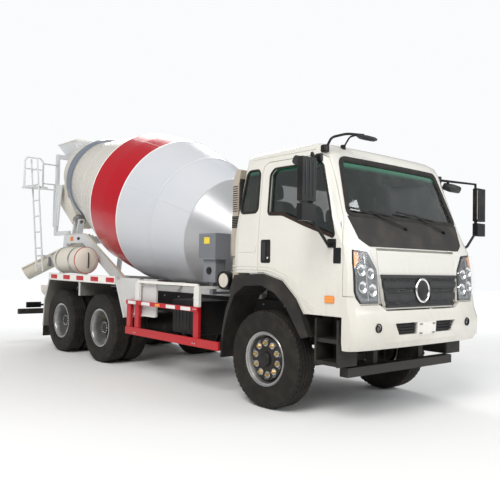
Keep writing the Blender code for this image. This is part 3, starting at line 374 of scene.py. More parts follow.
def front_patch(outer, inner, lift, thickness, rows=9, columns=9, bulge=0.0):
    """A curved plate on the cab's front, between an outer and an inner edge of (y, z) points.

    The two edges are lines of the same length; a point is outer + u (inner - outer) at height v along them,
    and it stands lift in front of the cab, plus bulge times sin(pi u) sin(pi v).
    """
    v = np.linspace(0, 1, rows)
    sides = []
    for edge in (outer, inner):
        edge = np.asarray(edge, float)
        reach = np.concatenate(((0,), np.cumsum(np.linalg.norm(np.diff(edge, axis=0), axis=1))))
        sides.append(np.stack([np.interp(v * reach[-1], reach, edge[:, i]) for i in (0, 1)], axis=1))
    u = np.linspace(0, 1, columns)[None, :, None]
    flat = sides[0][:, None] * (1 - u) + sides[1][:, None] * u
    rise = bulge * np.sin(math.pi * u[..., 0]) * np.sin(math.pi * v)[:, None]
    x = cab_front(flat[..., 0], flat[..., 1]) + lift
    face = np.concatenate(((x + rise)[..., None], flat), axis=2)
    back = np.concatenate(((x - thickness)[..., None], flat), axis=2)
    return plate_between(face, back)


def front_loop(points, lift):
    """Points of (y, z) laid on the cab's front, lift in front of it."""
    points = np.asarray(points, float)
    return np.stack((cab_front(points[:, 0], points[:, 1]) + lift, points[:, 0], points[:, 1]), axis=1)


def dense(points, spacing, closed=True):
    """More points along straight runs, about spacing apart."""
    points = np.asarray(points, float)
    after = np.roll(points, -1, axis=0) if closed else points[1:]
    runs = []
    for start, end in zip(points, after):
        count = max(1, round(float(np.linalg.norm(end - start)) / spacing))
        runs.append(start + (end - start) * np.linspace(0, 1, count + 1)[:-1, None])
    if not closed:
        runs.append(points[-1:])
    return np.vstack(runs)


def rounded_loop(points, radius, steps=5):
    """A closed outline with its corners rounded."""
    points = np.asarray(points, float)
    loop = []
    for i, corner in enumerate(points):
        before, after = points[i - 1], points[(i + 1) % len(points)]
        reach = min(radius, np.linalg.norm(before - corner) * 0.45, np.linalg.norm(after - corner) * 0.45)
        loop.append(rounded_corner(before, corner, after, reach, reach, steps))
    return np.vstack(loop)


# Finishes


class Wire:
    """A socket that takes part in sums, so that a formula reads as it is written."""

    def __init__(self, look, socket):
        self.look, self.socket = look, socket

    def maths(self, operation, *others):
        return self.look.node("ShaderNodeMath", {"operation": operation}, dict(enumerate((self, *others))))

    def __add__(self, other):
        return self.maths("ADD", other)

    def __radd__(self, other):
        return self.maths("ADD", other)

    def __sub__(self, other):
        return self.maths("SUBTRACT", other)

    def __rsub__(self, other):
        return self.maths("MULTIPLY", -1.0) + other

    def __mul__(self, other):
        return self.maths("MULTIPLY", other)

    def __rmul__(self, other):
        return self.maths("MULTIPLY", other)

    def wave(self):
        return self.maths("SINE")

    def most(self, other):
        return self.maths("MAXIMUM", other)

    def least(self, other):
        return self.maths("MINIMUM", other)

    def rise(self, start, end):
        """0 before start, 1 after end, and smooth between them."""
        return self.look.node("ShaderNodeMapRange", {"interpolation_type": "SMOOTHSTEP"},
                              {0: self, 1: start, 2: end, 3: 0.0, 4: 1.0})

    def within(self, low, high, soft):
        return self.rise(low - soft, low + soft) * (1.0 - self.rise(high - soft, high + soft))


class Look:
    """One finish: a Principled shader with its own settings, and nodes for what varies."""

    def __init__(self, name, settings):
        self.material = bpy.data.materials.new(name)
        self.material.use_nodes = True
        self.tree = self.material.node_tree
        self.shader = self.tree.nodes["Principled BSDF"]
        for socket, value in settings.items():
            self.shader.inputs[socket].default_value = value
        self.material.diffuse_color = self.shader.inputs["Base Color"].default_value
        place = self.tree.nodes.new("ShaderNodeTexCoord")
        self.place = Wire(self, place.outputs["Object"])
        split = self.tree.nodes.new("ShaderNodeSeparateXYZ")
        self.tree.links.new(place.outputs["Object"], split.inputs[0])
        self.x, self.y, self.z = (Wire(self, socket) for socket in split.outputs)
        self.x = self.x - FRONT_X

    def node(self, kind, settings=None, inputs=None, output=0):
        """Adds a node of any kind, with its settings and inputs, and gives one of its outputs."""
        made = self.tree.nodes.new(kind)
        for key, value in (settings or {}).items():
            setattr(made, key, value)
        for key, value in (inputs or {}).items():
            if isinstance(value, Wire):
                self.tree.links.new(value.socket, made.inputs[key])
            else:
                made.inputs[key].default_value = value
        return Wire(self, made.outputs[output])

    def set(self, socket, value):
        self.tree.links.new(value.socket, self.shader.inputs[socket])

    def noise(self, scale, detail=3.0, stretch=(1.0, 1.0, 1.0)):
        where = self.node("ShaderNodeVectorMath", {"operation": "MULTIPLY"}, {0: self.place, 1: stretch})
        return self.node("ShaderNodeTexNoise", {}, {"Vector": where, "Scale": scale, "Detail": detail})

    def mix(self, amount, first, second):
        """first where amount is 0 and second where it is 1."""
        colours = [value if isinstance(value, Wire) else (*value, 1.0) for value in (first, second)]
        return self.node("ShaderNodeMix", {"data_type": "RGBA"}, {0: amount, 6: colours[0], 7: colours[1]}, 2)

    def bump(self, height, distance, strength=1.0):
        self.set("Normal", self.node("ShaderNodeBump", {}, {"Height": height, "Distance": distance,
                                                            "Strength": strength}))


def paint(name, colour, roughness=0.32, dust=0.35, dust_colour=(0.36, 0.30, 0.22), low=0.7, high=1.7,
          coat=0.15,
          peel=0.0006, second=None):
    """Sprayed paint: fine orange peel, uneven gloss, streaks, and dust that thickens towards the ground.

    second is a function that makes a mask from the look, and the other colour that lies there: on the side
    guards a second paint, on the mudguards painted shade with some dirt.
    """
    look = Look(name, {"Base Color": (*colour, 1.0), "Coat Weight": coat, "Coat Roughness": 0.12,
                       "Specular IOR Level": 0.28})
    broad = look.noise(2.3, 5.0)
    streaks = look.noise(3.0, 6.0, (9.0, 9.0, 0.8))
    fine = look.noise(90.0, 4.0)
    depth = 1.0 - look.z.rise(low, high)
    amount = (depth * (broad * 1.4 + 0.15) + streaks.rise(0.52, 0.85) * 0.55 + broad.rise(0.55, 0.8)
              * 0.25) * dust
    dirt = amount.least(0.95)
    shade = look.mix(broad * 0.35, colour, tuple(c * 0.90 for c in colour))
    # On the mudguards this lays a painted shade, partly dirt, on their undersides.
    if second:
        shade = look.mix(second[0](look), shade, second[1])
    look.set("Base Color", look.mix(dirt, shade, dust_colour))
    look.set("Roughness", (dirt * 0.55 + fine * 0.08 + roughness - 0.04).least(0.95))
    look.bump(look.noise(420.0, 2.0) + fine * 0.4, peel)
    return look


def drum_paint(colour, band):
    """The drum's paint: a front cone, a greyer end cone, the red band with its pale edge trims and with pale
    lines of painted reflection along it, thin seams and stains.
    """
    look = Look("drum_paint", {"Base Color": (*colour, 1.0), "Coat Weight": 0.12, "Coat Roughness": 0.06,
                               "Specular IOR Level": 0.22})
    start = DRUM_START
    along = (look.x - start[0]) * float(DRUM_AXIS[0]) + (look.z - start[2]) * float(DRUM_AXIS[2])
    up = (look.x - start[0]) * float(-DRUM_AXIS[2]) + (look.z - start[2]) * float(DRUM_AXIS[0])
    turn = look.node("ShaderNodeMath", {"operation": "ARCTAN2"}, {0: up * -1.0, 1: look.y})
    broad = look.noise(1.3, 6.0)
    fine = look.noise(60.0, 4.0)
    streaks = look.noise(2.0, 7.0, (2.0, 7.0, 1.1))
    cone = look.mix(broad.rise(0.35, 0.7) * 0.5, colour,
                    tuple(c * f for c, f in zip(colour, (0.90, 0.94, 0.99))))
    end = along.rise(1.045, 1.07)
    cone = look.mix(end, (0.42, 0.425, 0.44), cone)
    rear = along.rise(3.24, 3.26)
    cone = look.mix(rear, cone, (0.68, 0.65, 0.59))
    striped = along.within(2.353, 3.251, 0.002)
    red = look.mix(broad * 0.5, band, tuple(c * 0.72 for c in band))
    border = along.within(2.353, 2.388, 0.0015).most(along.within(3.236, 3.251, 0.0015))
    # Painted reflections: thin pale lines along the drum, across the red band, stand in for reflections of
    # lamp strips. The border is the band's own pale trim.
    lines = turn.within(-1.30, -1.296, 0.0008)
    for place, width in ((-1.06, 0.010), (-0.90, 0.012), (-0.82, 0.014), (-0.55, 0.005), (0.40, 0.005),
                         (2.10, 0.005)):
        lines = lines.most(turn.within(place, place + width, 0.0010))
    cone = look.mix(striped, cone, look.mix(border.most(lines), red, (0.86, 0.86, 0.85)))
    seam = turn.within(-0.72, -0.7175, 0.0008) * (1.0 - rear) + along.within(1.66, 1.664, 0.001)
    cone = look.mix(seam.least(1.0) * 0.55, cone, (0.30, 0.30, 0.31))
    rings = along.within(4.7405, 4.881, 0.001).most(along.within(4.9995, 5.032, 0.001))
    cone = look.mix(rings, cone, (0.17, 0.20, 0.25))
    stains = (streaks.rise(0.55, 0.82) * (0.10 + 0.55 * rear) + along.rise(4.4, 5.3) * broad
              * 0.7).least(0.85)
    stains = stains * (1.0 - striped) * (1.0 - rings * 0.7)
    look.set("Base Color", look.mix(stains, cone, (0.50, 0.47, 0.41)))
    look.set("Roughness", (0.20 + stains * 0.5 + fine * 0.05 + (1.0 - end) * 0.12).least(0.9))
    look.set("Metallic", (1.0 - end) * 0.35)
    look.bump(fine + look.noise(380.0, 2.0) * 0.5 + broad * 6.0, 0.0008)
    return look


def rubber(name, colour=(0.012, 0.011, 0.010), dust=0.09):
    """Rubber with brown road dust lying in its hollows and on the tread."""
    look = Look(name, {"Base Color": (*colour, 1.0), "Specular IOR Level": 0.22})
    broad = look.noise(9.0, 6.0)
    fine = look.noise(160.0, 4.0)
    amount = (broad.rise(0.35, 0.75) * 0.7 + fine * 0.25) * dust
    look.set("Base Color", look.mix(amount, colour, (0.20, 0.155, 0.11)))
    look.set("Roughness", 0.62 + amount * 0.3)
    look.bump(fine + look.noise(700.0, 2.0) * 0.4, 0.0007)
    return look


def plastic(name, colour, roughness=0.50, dust=0.10, grain=500.0):
    """Moulded plastic with a fine leather-like grain and a little dust."""
    look = Look(name, {"Base Color": (*colour, 1.0), "Specular IOR Level": 0.25})
    broad = look.noise(4.0, 5.0)
    cells = look.node("ShaderNodeTexVoronoi", {}, {"Vector": look.place, "Scale": grain})
    amount = broad.rise(0.4, 0.8) * dust
    look.set("Base Color", look.mix(amount, colour, (0.30, 0.25, 0.19)))
    look.set("Roughness", (roughness + amount * 0.35 + cells * 0.08).least(0.95))
    look.bump(cells, 0.0004)
    return look


def metal(name, colour, roughness=0.3, brushed=0.0, dust=0.15, metallic=1.0):
    """Bare or plated metal: fine scratches one way, cloudy gloss, and a little grime."""
    look = Look(name, {"Base Color": (*colour, 1.0), "Metallic": metallic})
    cloudy = look.noise(6.0, 5.0)
    scratches = look.noise(40.0, 4.0, (1.0, 1.0, 14.0)) if brushed else look.noise(60.0, 4.0)
    grime = cloudy.rise(0.5, 0.8) * dust
    look.set("Base Color", look.mix(grime, colour, (0.17, 0.14, 0.10)))
    look.set("Roughness", (roughness + grime * 0.9 + (scratches - 0.5)
                           * (0.15 + brushed)).least(0.95).most(0.04))
    look.set("Metallic", metallic - grime * 0.8)
    look.bump(scratches, 0.0003)
    return look


def glass(name, colour, alpha, roughness=0.03, strip=False):
    """Window glass with wiped dust, and a darker green strip along the top of a windscreen."""
    look = Look(name, {"Base Color": (*colour, 1.0), "Roughness": roughness, "Alpha": alpha,
                       "Specular IOR Level": 0.7, "Coat Weight": 1.0, "Coat Roughness": 0.02})
    haze = look.noise(5.0, 5.0).rise(0.45, 0.85)
    shade = look.mix(haze * 0.08, colour, (0.42, 0.40, 0.36))
    cover = haze * 0.12 + alpha
    if strip:
        top = look.z.rise(2.50, 2.56)
        shade = look.mix(top, shade, (0.02, 0.13, 0.075))
        cover = cover + top * 0.4
    look.set("Base Color", shade)
    look.set("Alpha", cover.least(1.0))
    look.set("Roughness", haze * 0.10 + roughness)
    look.material.surface_render_method = "BLENDED"
    return look


def lamp_lens(name, colour, ribs=220.0, alpha=0.92):
    """A moulded lamp lens: fine upright ribs under a glossy skin, with a faint glow. On parts that are no
    lamps this glow is painted light.
    """
    look = Look(name, {"Base Color": (*colour, 1.0), "Coat Weight": 1.0, "Coat Roughness": 0.03,
                       "Alpha": alpha,
                       "Emission Color": (*colour, 1.0), "Emission Strength": 0.08})
    wave = (look.y * ribs).wave() * (look.z * ribs).wave()
    look.set("Base Color", look.mix(wave * 0.25 + 0.25, colour, tuple(c * 0.5 for c in colour)))
    look.set("Roughness", wave * 0.05 + 0.16)
    look.bump(wave, 0.0008)
    return look


def woven(name, colour, wrap=True):
    """Seat cloth: two crossing threads, with a thin glossy plastic wrap over it."""
    look = Look(name, {"Base Color": (*colour, 1.0), "Coat Weight": 0.9 if wrap else 0.0,
                       "Coat Roughness": 0.15,
                       "Sheen Weight": 0.4})
    threads = ((look.x * 1500.0).wave() * (look.z * 1500.0).wave()) + (look.y * 1500.0).wave()
    broad = look.noise(12.0, 4.0)
    look.set("Base Color", look.mix(threads * 0.2 + 0.3, colour, tuple(c * 1.6 for c in colour)))
    look.set("Roughness", broad * 0.2 + 0.65)
    look.bump(threads * 0.3 + broad * 3.0, 0.0009)
    return look


def meshed(name, colour, scale=55.0):
    """Black expanded mesh: the hexagonal openings are painted near black, as painted shade of the hollows
    behind them.
    """
    look = Look(name, {"Base Color": (*colour, 1.0)})
    cells = look.node("ShaderNodeTexVoronoi", {"feature": "DISTANCE_TO_EDGE"}, {"Vector": look.place,
                                                                               "Scale": scale})
    wire = 1.0 - cells.rise(0.06, 0.14)
    look.set("Base Color", look.mix(wire, (0.004, 0.004, 0.004), colour))
    look.set("Roughness", 0.9 - wire * 0.45)
    look.bump(wire, 0.003)
    return look


LOOKS = {}


def mudguard_painted_shade(look):
    """1 on the mudguards' undersides, inboard of their pale outer edges and behind their front aprons. There
    a dark grey is painted: partly painted shade under the mudguards, partly dirt.
    """
    inboard = 1.0 - (look.y * look.y).rise(1.400, 1.425)
    return inboard * (1.0 - look.z.rise(1.232, 1.240)) * (1.0 - look.x.rise(-3.05, -3.03))


def all_looks(colours):
    """Every finish by name."""
    cab, band, fittings = tuple(colours.cab), tuple(colours.band), tuple(colours.fittings)
    dark = tuple(colours.plastic)
    return {
        "cab_paint": paint("cab_paint", cab, 0.25, 0.30, coat=0.6),
        "drum_paint": drum_paint(tuple(colours.drum), band),
        "frame_paint": paint("frame_paint", fittings, 0.42, 0.45, (0.40, 0.37, 0.32), 1.0, 2.0, 0.15),
        "cream_paint": paint("cream_paint", (0.76, 0.72, 0.63), 0.40, 0.45, (0.42, 0.37, 0.30), 1.0, 2.4,
                             0.15),
        "chassis_paint": paint("chassis_paint", (0.010, 0.010, 0.011), 0.42, 0.22, (0.11, 0.09, 0.07), 0.3,
                               1.3, 0.0),
        "guard_paint": paint("guard_paint", tuple(colours.guard), 0.32, 0.12, (0.30, 0.18, 0.13), 0.4, 1.2,
                             second=(lambda look: look.z.rise(1.001, 1.005), (0.70, 0.69, 0.66))),
        "red_paint": paint("red_paint", tuple(colours.guard), 0.32, 0.12, (0.30, 0.18, 0.13), 0.4, 1.2),
        # The mudguards' dark grey undersides are painted shade under the mudguards, partly dirt.
        "mudguard_paint": paint("mudguard_paint", fittings, 0.42, 0.35, (0.40, 0.37, 0.32), 1.0, 2.0, 0.15,
                                second=(mudguard_painted_shade, (0.055, 0.055, 0.053))),
        "white_paint": paint("white_paint", (0.82, 0.80, 0.75), 0.35, 0.35, low=0.5, high=1.3),
        "grey_paint": paint("grey_paint", (0.20, 0.21, 0.23), 0.45, 0.40, (0.30, 0.27, 0.22), 0.4, 1.5, 0.1),
        "orange_paint": paint("orange_paint", (0.75, 0.20, 0.03), 0.35, 0.25),
        "yellow_paint": paint("yellow_paint", (0.80, 0.60, 0.06), 0.40, 0.25),
        "rim_paint": metal("rim_paint", (0.42, 0.42, 0.42), 0.30, 0.0, 0.45, 0.85),
        "bare_steel": metal("bare_steel", (0.50, 0.50, 0.49), 0.34, 0.2, 0.35),
        "casting": metal("casting", (0.020, 0.019, 0.018), 0.5, 0.0, 0.45, 0.35),
        "chrome": metal("chrome", (0.86, 0.86, 0.85), 0.07, 0.0, 0.05),
        "lamp_metal": metal("lamp_metal", (0.34, 0.35, 0.37), 0.12, 0.0, 0.05),
        "brass": metal("brass", (0.60, 0.42, 0.17), 0.32, 0.0, 0.30),
        "mirror": metal("mirror_glass", (0.80, 0.82, 0.83), 0.05, 0.0, 0.04),
        "dark_plastic": plastic("dark_plastic", dark),
        "black_plastic": plastic("black_plastic", (0.008, 0.008, 0.009), 0.38, 0.06),
        "grey_plastic": plastic("grey_plastic", (0.028, 0.029, 0.031), 0.38, 0.06),
        "beige_plastic": plastic("beige_plastic", (0.42, 0.37, 0.30), 0.55, 0.4),
        "brown_strip": plastic("brown_strip", (0.030, 0.017, 0.012), 0.35, 0.05),
        "cab_trim": plastic("cab_trim", (0.16, 0.15, 0.14), 0.6, 0.1),
        "curtain": woven("curtain_cloth", (0.42, 0.34, 0.24), False),
        "seat_fabric": woven("seat_fabric", (0.12, 0.12, 0.13)),
        "tyre_rubber": rubber("tyre_rubber"),
        "seal_rubber": rubber("seal_rubber", (0.012, 0.012, 0.012), 0.12),
        "flap_rubber": rubber("flap_rubber", (0.012, 0.011, 0.010), 0.25),
        # Near black and 60 % opaque: partly the glass's tint, partly painted shade of the dim cab behind it.
        "tinted_glass": glass("tinted_glass", (0.008, 0.016, 0.014), 0.60, strip=True),
        "clear_lens": glass("clear_lens", (0.75, 0.78, 0.80), 0.09),
        "dark_glass": glass("dark_glass", (0.01, 0.012, 0.014), 0.92),
        "amber_lens": lamp_lens("amber_lens", (0.90, 0.28, 0.02)),
        "red_lens": lamp_lens("red_lens", (0.60, 0.01, 0.01)),
        # The side guards' white patches use the lens look, so they glow faintly: a painted glow.
        "white_patch": lamp_lens("white_patch", (0.80, 0.80, 0.76), 900.0, 1.0),
        "mesh": meshed("black_mesh", (0.05, 0.05, 0.05)),
    }


# Pieces


def piece(name, shape, body, look, angle=32.0, bevel=0.0):
    """A shape as an object of the truck: doubles merged, faces outward, and edges over the angle sharp."""
    mesh = bpy.data.meshes.new(name)
    mesh.from_pydata((shape.points + (FRONT_X, 0.0, 0.0)).tolist(), [], shape.faces)
    tidy_mesh(mesh, 1e-5)
    mesh.set_sharp_from_angle(angle=math.radians(angle))
    mesh.materials.append(LOOKS[look].material)
    made = bpy.data.objects.new(name, mesh)
    bpy.context.scene.collection.objects.link(made)
    if bevel:
        round_edges(made, bevel)
    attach(made, body)
    return made


def tidy_mesh(mesh, within, flat_angle=0.0):
    """Merges doubled points, joins faces that lie in one plane, and turns every face outward."""
    work = bmesh.new()
    work.from_mesh(mesh)
    bmesh.ops.remove_doubles(work, verts=work.verts, dist=within)
    if flat_angle:
        bmesh.ops.dissolve_limit(work, angle_limit=flat_angle, verts=work.verts, edges=work.edges)
    bmesh.ops.recalc_face_normals(work, faces=work.faces)
    work.to_mesh(mesh)
    work.free()
    mesh.polygons.foreach_set("use_smooth", [True] * len(mesh.polygons))
    mesh.update()


def round_edges(made, width, segments=2):
    bevel = made.modifiers.new("edges", "BEVEL")
    bevel.width = width
    bevel.segments = segments
    bevel.limit_method = "ANGLE"
    bevel.angle_limit = math.radians(34)
    bevel.harden_normals = True


def smooth_copy(node, look, width, angle=32.0):
    """The CAD node's own shape with its edges rounded, shown in its place."""
    source = frame["nodes"][node]
    mesh = source.data.copy()
    mesh.name = node + "_shown"
    tidy_mesh(mesh, 2e-5, math.radians(0.4))
    mesh.set_sharp_from_angle(angle=math.radians(angle))
    mesh.materials.clear()
    mesh.materials.append(LOOKS[look].material)
    made = bpy.data.objects.new(node + "_shown", mesh)
    bpy.context.scene.collection.objects.link(made)
    if width:
        round_edges(made, width)
    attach(made, body_of(source)[0])
    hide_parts(node)
    return made


# Wheels


FRONT_RIM = (
    (0.128, 0.0), (0.128, 0.055), (0.118, 0.072), (0.090, 0.080), (0.086, 0.102), (0.080, 0.108),
             (0.0765, 0.218),
    (0.068, 0.226), (0.036, 0.2345), (0.034, 0.240), (0.060, 0.2505), (0.096, 0.255), (0.104, 0.262),
    (0.106, 0.2895), (0.114, 0.2915), (0.118, 0.288),
)


def tyre(centre, outward, depth, blocks, steps=260):
    """A tyre with zigzag grooves, notched shoulders and ringed sidewalls.

    The section is a rounded loop of (height h, radius r). Turned by t, the radius falls by the groove's depth
    where h is near a zigzag line, h = place + swing triangle(n t), and where the shoulder's notches are.
    """
    low, high = 0.272, TYRE_RADIUS
    side = np.array(((0.098, low), (0.112, low + 0.020), (0.122, 0.305), (0.134, 0.345), (0.138, 0.385),
                     (0.1365, 0.42), (0.131, 0.455), (0.127, 0.485), (0.121, 0.503), (0.113, 0.513)))
    side = rounded_path(side, 0.03, 3)
    tread_h = np.linspace(0.108, -0.108, 91)
    tread = np.stack((tread_h, high - 0.0045 * (tread_h / 0.108) ** 2), axis=1)
    section = np.vstack((side, tread, side[::-1] * (-1, 1)))
    h, r = section.T
    t = np.arange(steps) * math.tau / steps
    grid_h = np.repeat(h[:, None], steps, axis=1)
    grid_r = np.repeat(r[:, None], steps, axis=1)
    zigzag = 2 * np.abs((t * blocks / math.tau) % 1 - 0.5) * 2 - 1
    groove = np.zeros_like(grid_r)
    for place in (-0.066, -0.022, 0.022, 0.066):
        away = np.abs(grid_h - place - 0.0045 * zigzag)
        groove = np.maximum(groove, np.clip((0.0068 - away) / 0.0022, 0, 1))
    notch = (((t * blocks / math.tau) % 1) < 0.24)[None] * np.clip((np.abs(grid_h) - 0.090) / 0.004, 0, 1)
    notch = notch * (grid_r > 0.480)
    sipe = (((t * blocks / math.tau + 0.5) % 1) < 0.10)[None] * (np.abs(grid_h) < 0.085) * 0.28
    fall = depth * np.maximum(np.maximum(groove * (grid_r > 0.505), notch * 0.85), sipe * (grid_r > 0.505))
    rings = 0.0022 * sum(np.exp(-((grid_r - ring) / 0.0022) ** 2)
                         for ring in (0.300, 0.312, 0.352, 0.428, 0.436))
    grid_h = grid_h + np.sign(grid_h) * rings * (grid_r < 0.46) * (np.abs(grid_h) < 0.1355)
    axis, first, second = directions((0, outward, 0))
    ring = np.cos(t)[:, None] * first + np.sin(t)[:, None] * second
    points = np.asarray(centre) + grid_h[..., None] * axis + (grid_r - fall)[..., None] * ring[None]
    return surface(points, round_u=True, round_v=True)


def hand_holes(centre, outward, height, radius, count, size):
    """Oval openings in a wheel's disc, each a dark dish inside a raised lip. The dark dish is painted shade,
    for the shadowed inside seen through the opening.
    """
    turn = np.arange(28) * math.tau / 28
    loop = np.stack((np.cos(turn) * size[0], np.sin(turn) * size[1]), axis=1)
    dishes, lips = [], []
    for i in range(count):
        angle = math.tau * (i + 0.5) / count
        out_way = np.array((math.cos(angle), 0.0, math.sin(angle)))
        along = np.array((-math.sin(angle), 0.0, math.cos(angle)))
        middle = np.asarray(centre) + (0, outward * height, 0) + out_way * radius
        ring = middle + loop[:, :1] * along + loop[:, 1:] * out_way
        lips.append(swept(ring, circle(0.0035, 6), up=(0, 1, 0), closed=True))
        levels = np.stack([middle + (ring - middle) * scale - np.array((0, outward * drop, 0))
                           for scale, drop in ((1.0, -0.001), (0.9, 0.004), (0.5, 0.006), (0.02, 0.006))])
        dishes.append(surface(levels, round_v=True))
    return joined(dishes), joined(lips)


def wheel_nuts(centre, outward, height, radius, count, size=0.0195):
    axis = (0, outward, 0)
    one = placed(hexagon_nut(size, 0.026), np.asarray(centre) + (radius, outward * height, 0), axis,
                 (1, 0, 0))
    stud = revolved(((0.0, 0.009), (0.036, 0.009), (0.038, 0.006), (0.038, 0.0)),
                    np.asarray(centre) + (radius, outward * height, 0), axis, 12)
    plate = revolved(((0.0, 0.036), (0.004, 0.034), (0.006, 0.0)),
                     np.asarray(centre) + (radius, outward * (height - 0.001), 0), axis, 20)
    start = 0.2
    return (around(one + stud, count, np.asarray(centre), (0, 1, 0), start),
            around(plate, count, np.asarray(centre), (0, 1, 0), start))


def make_front_wheels(sizes):
    for side, sign in SIDES:
        body = f"front_wheel_{side}"
        centre = (0.0, sign * abs(FRONT_WHEEL_Y), AXLE_Z)
        rubber_piece = piece(f"front_tyre_{side}_shown",
                             tyre(centre, sign, sizes.tread_depth, sizes.tread_blocks),
                             body, "tyre_rubber", 40)
        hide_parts(f"front_tyre_{side}")
        barrel = FRONT_RIM[8:] + ((0.110, 0.2725), (-0.098, 0.2705), (-0.116, 0.272), (-0.118, 0.286),
                                  (-0.110, 0.286), (-0.098, 0.260), (-0.02, 0.243), (0.020, 0.232))
        rim = ring_solid(barrel, centre, (0, sign, 0), 96)
        disc = revolved(FRONT_RIM[3:10] + ((0.02, 0.236), (0.02, 0.0)), centre, (0, sign, 0), 96)
        rim_piece = piece(f"front_rim_{side}_shown", rim, body, "rim_paint", 40)
        piece(f"front_disc_{side}", disc, body, "casting", 40)
        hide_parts(f"front_rim_{side}")
        dark, lips = hand_holes(centre, sign, 0.0785, 0.2045, 10, (0.021, 0.0105))
        # The hand holes' dark dishes are painted shade, in the black plastic look.
        piece(f"front_hand_holes_{side}", dark, body, "black_plastic", 60)
        piece(f"front_hole_lips_{side}", lips, body, "rim_paint", 60)
        hub = revolved(((0.075, 0.126), (0.0795, 0.124), (0.081, 0.112), (0.090, 0.100), (0.092, 0.086)),
                       centre, (0, sign, 0), 64)
        piece(f"front_hub_{side}", hub, body, "casting", 35)
        cap = revolved(((0.088, 0.080), (0.118, 0.078), (0.128, 0.070), (0.131, 0.050), (0.138, 0.046),
                        (0.1435, 0.030), (0.145, 0.0)), centre, (0, sign, 0), 48)
        piece(f"front_cap_{side}", cap, body, "black_plastic", 30)
        nuts, plates = wheel_nuts(centre, sign, 0.080, 0.1675, sizes.wheel_nuts)
        piece(f"front_nuts_{side}", nuts, body, "brass", 30)
        piece(f"front_nut_plates_{side}", plates, body, "bare_steel", 30)


TWIN_RIM = (
    (0.118, 0.2725), (0.118, 0.288), (0.110, 0.2895), (0.106, 0.262), (0.092, 0.254), (0.030, 0.246),
    (-0.050, 0.238), (-0.125, 0.232), (-0.138, 0.214), (-0.142, 0.120), (-0.150, 0.100), (-0.150, 0.090),
    (-0.160, 0.090), (-0.160, 0.235), (-0.05, 0.262), (0.098, 0.2705),
)


def make_twin_wheels(sizes):
    for axle, x in (("middle", MIDDLE_X), ("rear", REAR_X)):
        for side, sign in SIDES:
            body = f"{axle}_wheel_{side}"
            outer = (x, sign * TWIN_WHEEL_Y, AXLE_Z)
            inner = (x, sign * (TWIN_WHEEL_Y - TWIN_SPACING), AXLE_Z)
            depth, blocks = sizes.tread_depth, sizes.tread_blocks
            rubber_piece = piece(f"{axle}_tyre_outer_{side}", tyre(outer, sign, depth, blocks), body,
                                 "tyre_rubber", 40)
            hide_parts(f"{axle}_twin_wheel_{side}")
            piece(f"{axle}_tyre_inner_{side}", tyre(inner, sign, depth, blocks, 168), body, "tyre_rubber", 40)
            rims = ring_solid(TWIN_RIM, outer, (0, sign, 0), 96)
            rims = rims + ring_solid([(-h, r) for h, r in TWIN_RIM[::-1]], inner, (0, sign, 0), 64)
            piece(f"{axle}_rims_{side}", rims, body, "rim_paint", 40)
            dark, lips = hand_holes(outer, sign, -0.1355, 0.2005, 10, (0.022, 0.011))
            # The hand holes' dark dishes are painted shade, in the black plastic look.
            piece(f"{axle}_hand_holes_{side}", dark, body, "black_plastic", 60)
            piece(f"{axle}_hole_lips_{side}", lips, body, "rim_paint", 60)
            hub = revolved(((-0.165, 0.14), (-0.135, 0.138), (-0.130, 0.128), (-0.030, 0.118), (0.000, 0.114),
                            (0.006, 0.104), (0.010, 0.098), (0.026, 0.094), (0.030, 0.060), (0.030, 0.0)),
                           outer, (0, sign, 0), 56)
            piece(f"{axle}_hub_{side}", hub, body, "casting", 30)
            bolts = around(placed(hexagon_nut(0.010, 0.012), np.asarray(outer) + (0.082, sign * 0.028, 0),
                                  (0, sign, 0), (1, 0, 0)), 12, np.asarray(outer), (0, 1, 0))
            piece(f"{axle}_hub_bolts_{side}", bolts, body, "bare_steel", 30)
            nuts, plates = wheel_nuts(outer, sign, -0.139, 0.1675, sizes.wheel_nuts)
            piece(f"{axle}_nuts_{side}", nuts, body, "brass", 30)
            piece(f"{axle}_nut_plates_{side}", plates, body, "bare_steel", 30)


# Drum


DRUM_PROFILE = np.array((
    (0.25, 0.02), (0.25, 0.34), (0.50, 0.45), (1.057, 0.794), (1.70, 0.98), (2.353, 1.126), (2.80, 1.135),
    (3.251, 1.124), (4.74, 0.752), (4.742, 0.797), (4.755, 0.80), (4.865, 0.80), (4.878, 0.797),
                         (4.88, 0.717),
    (5.00, 0.687), (5.001, 0.743), (5.03, 0.743), (5.031, 0.68), (5.35, 0.600), (5.508, 0.585),
                         (5.508, 0.555),
    (5.35, 0.565), (3.24, 1.08), (2.80, 1.095), (2.36, 1.084), (1.08, 0.752), (0.52, 0.405), (0.34, 0.32),
    (0.34, 0.0),
))


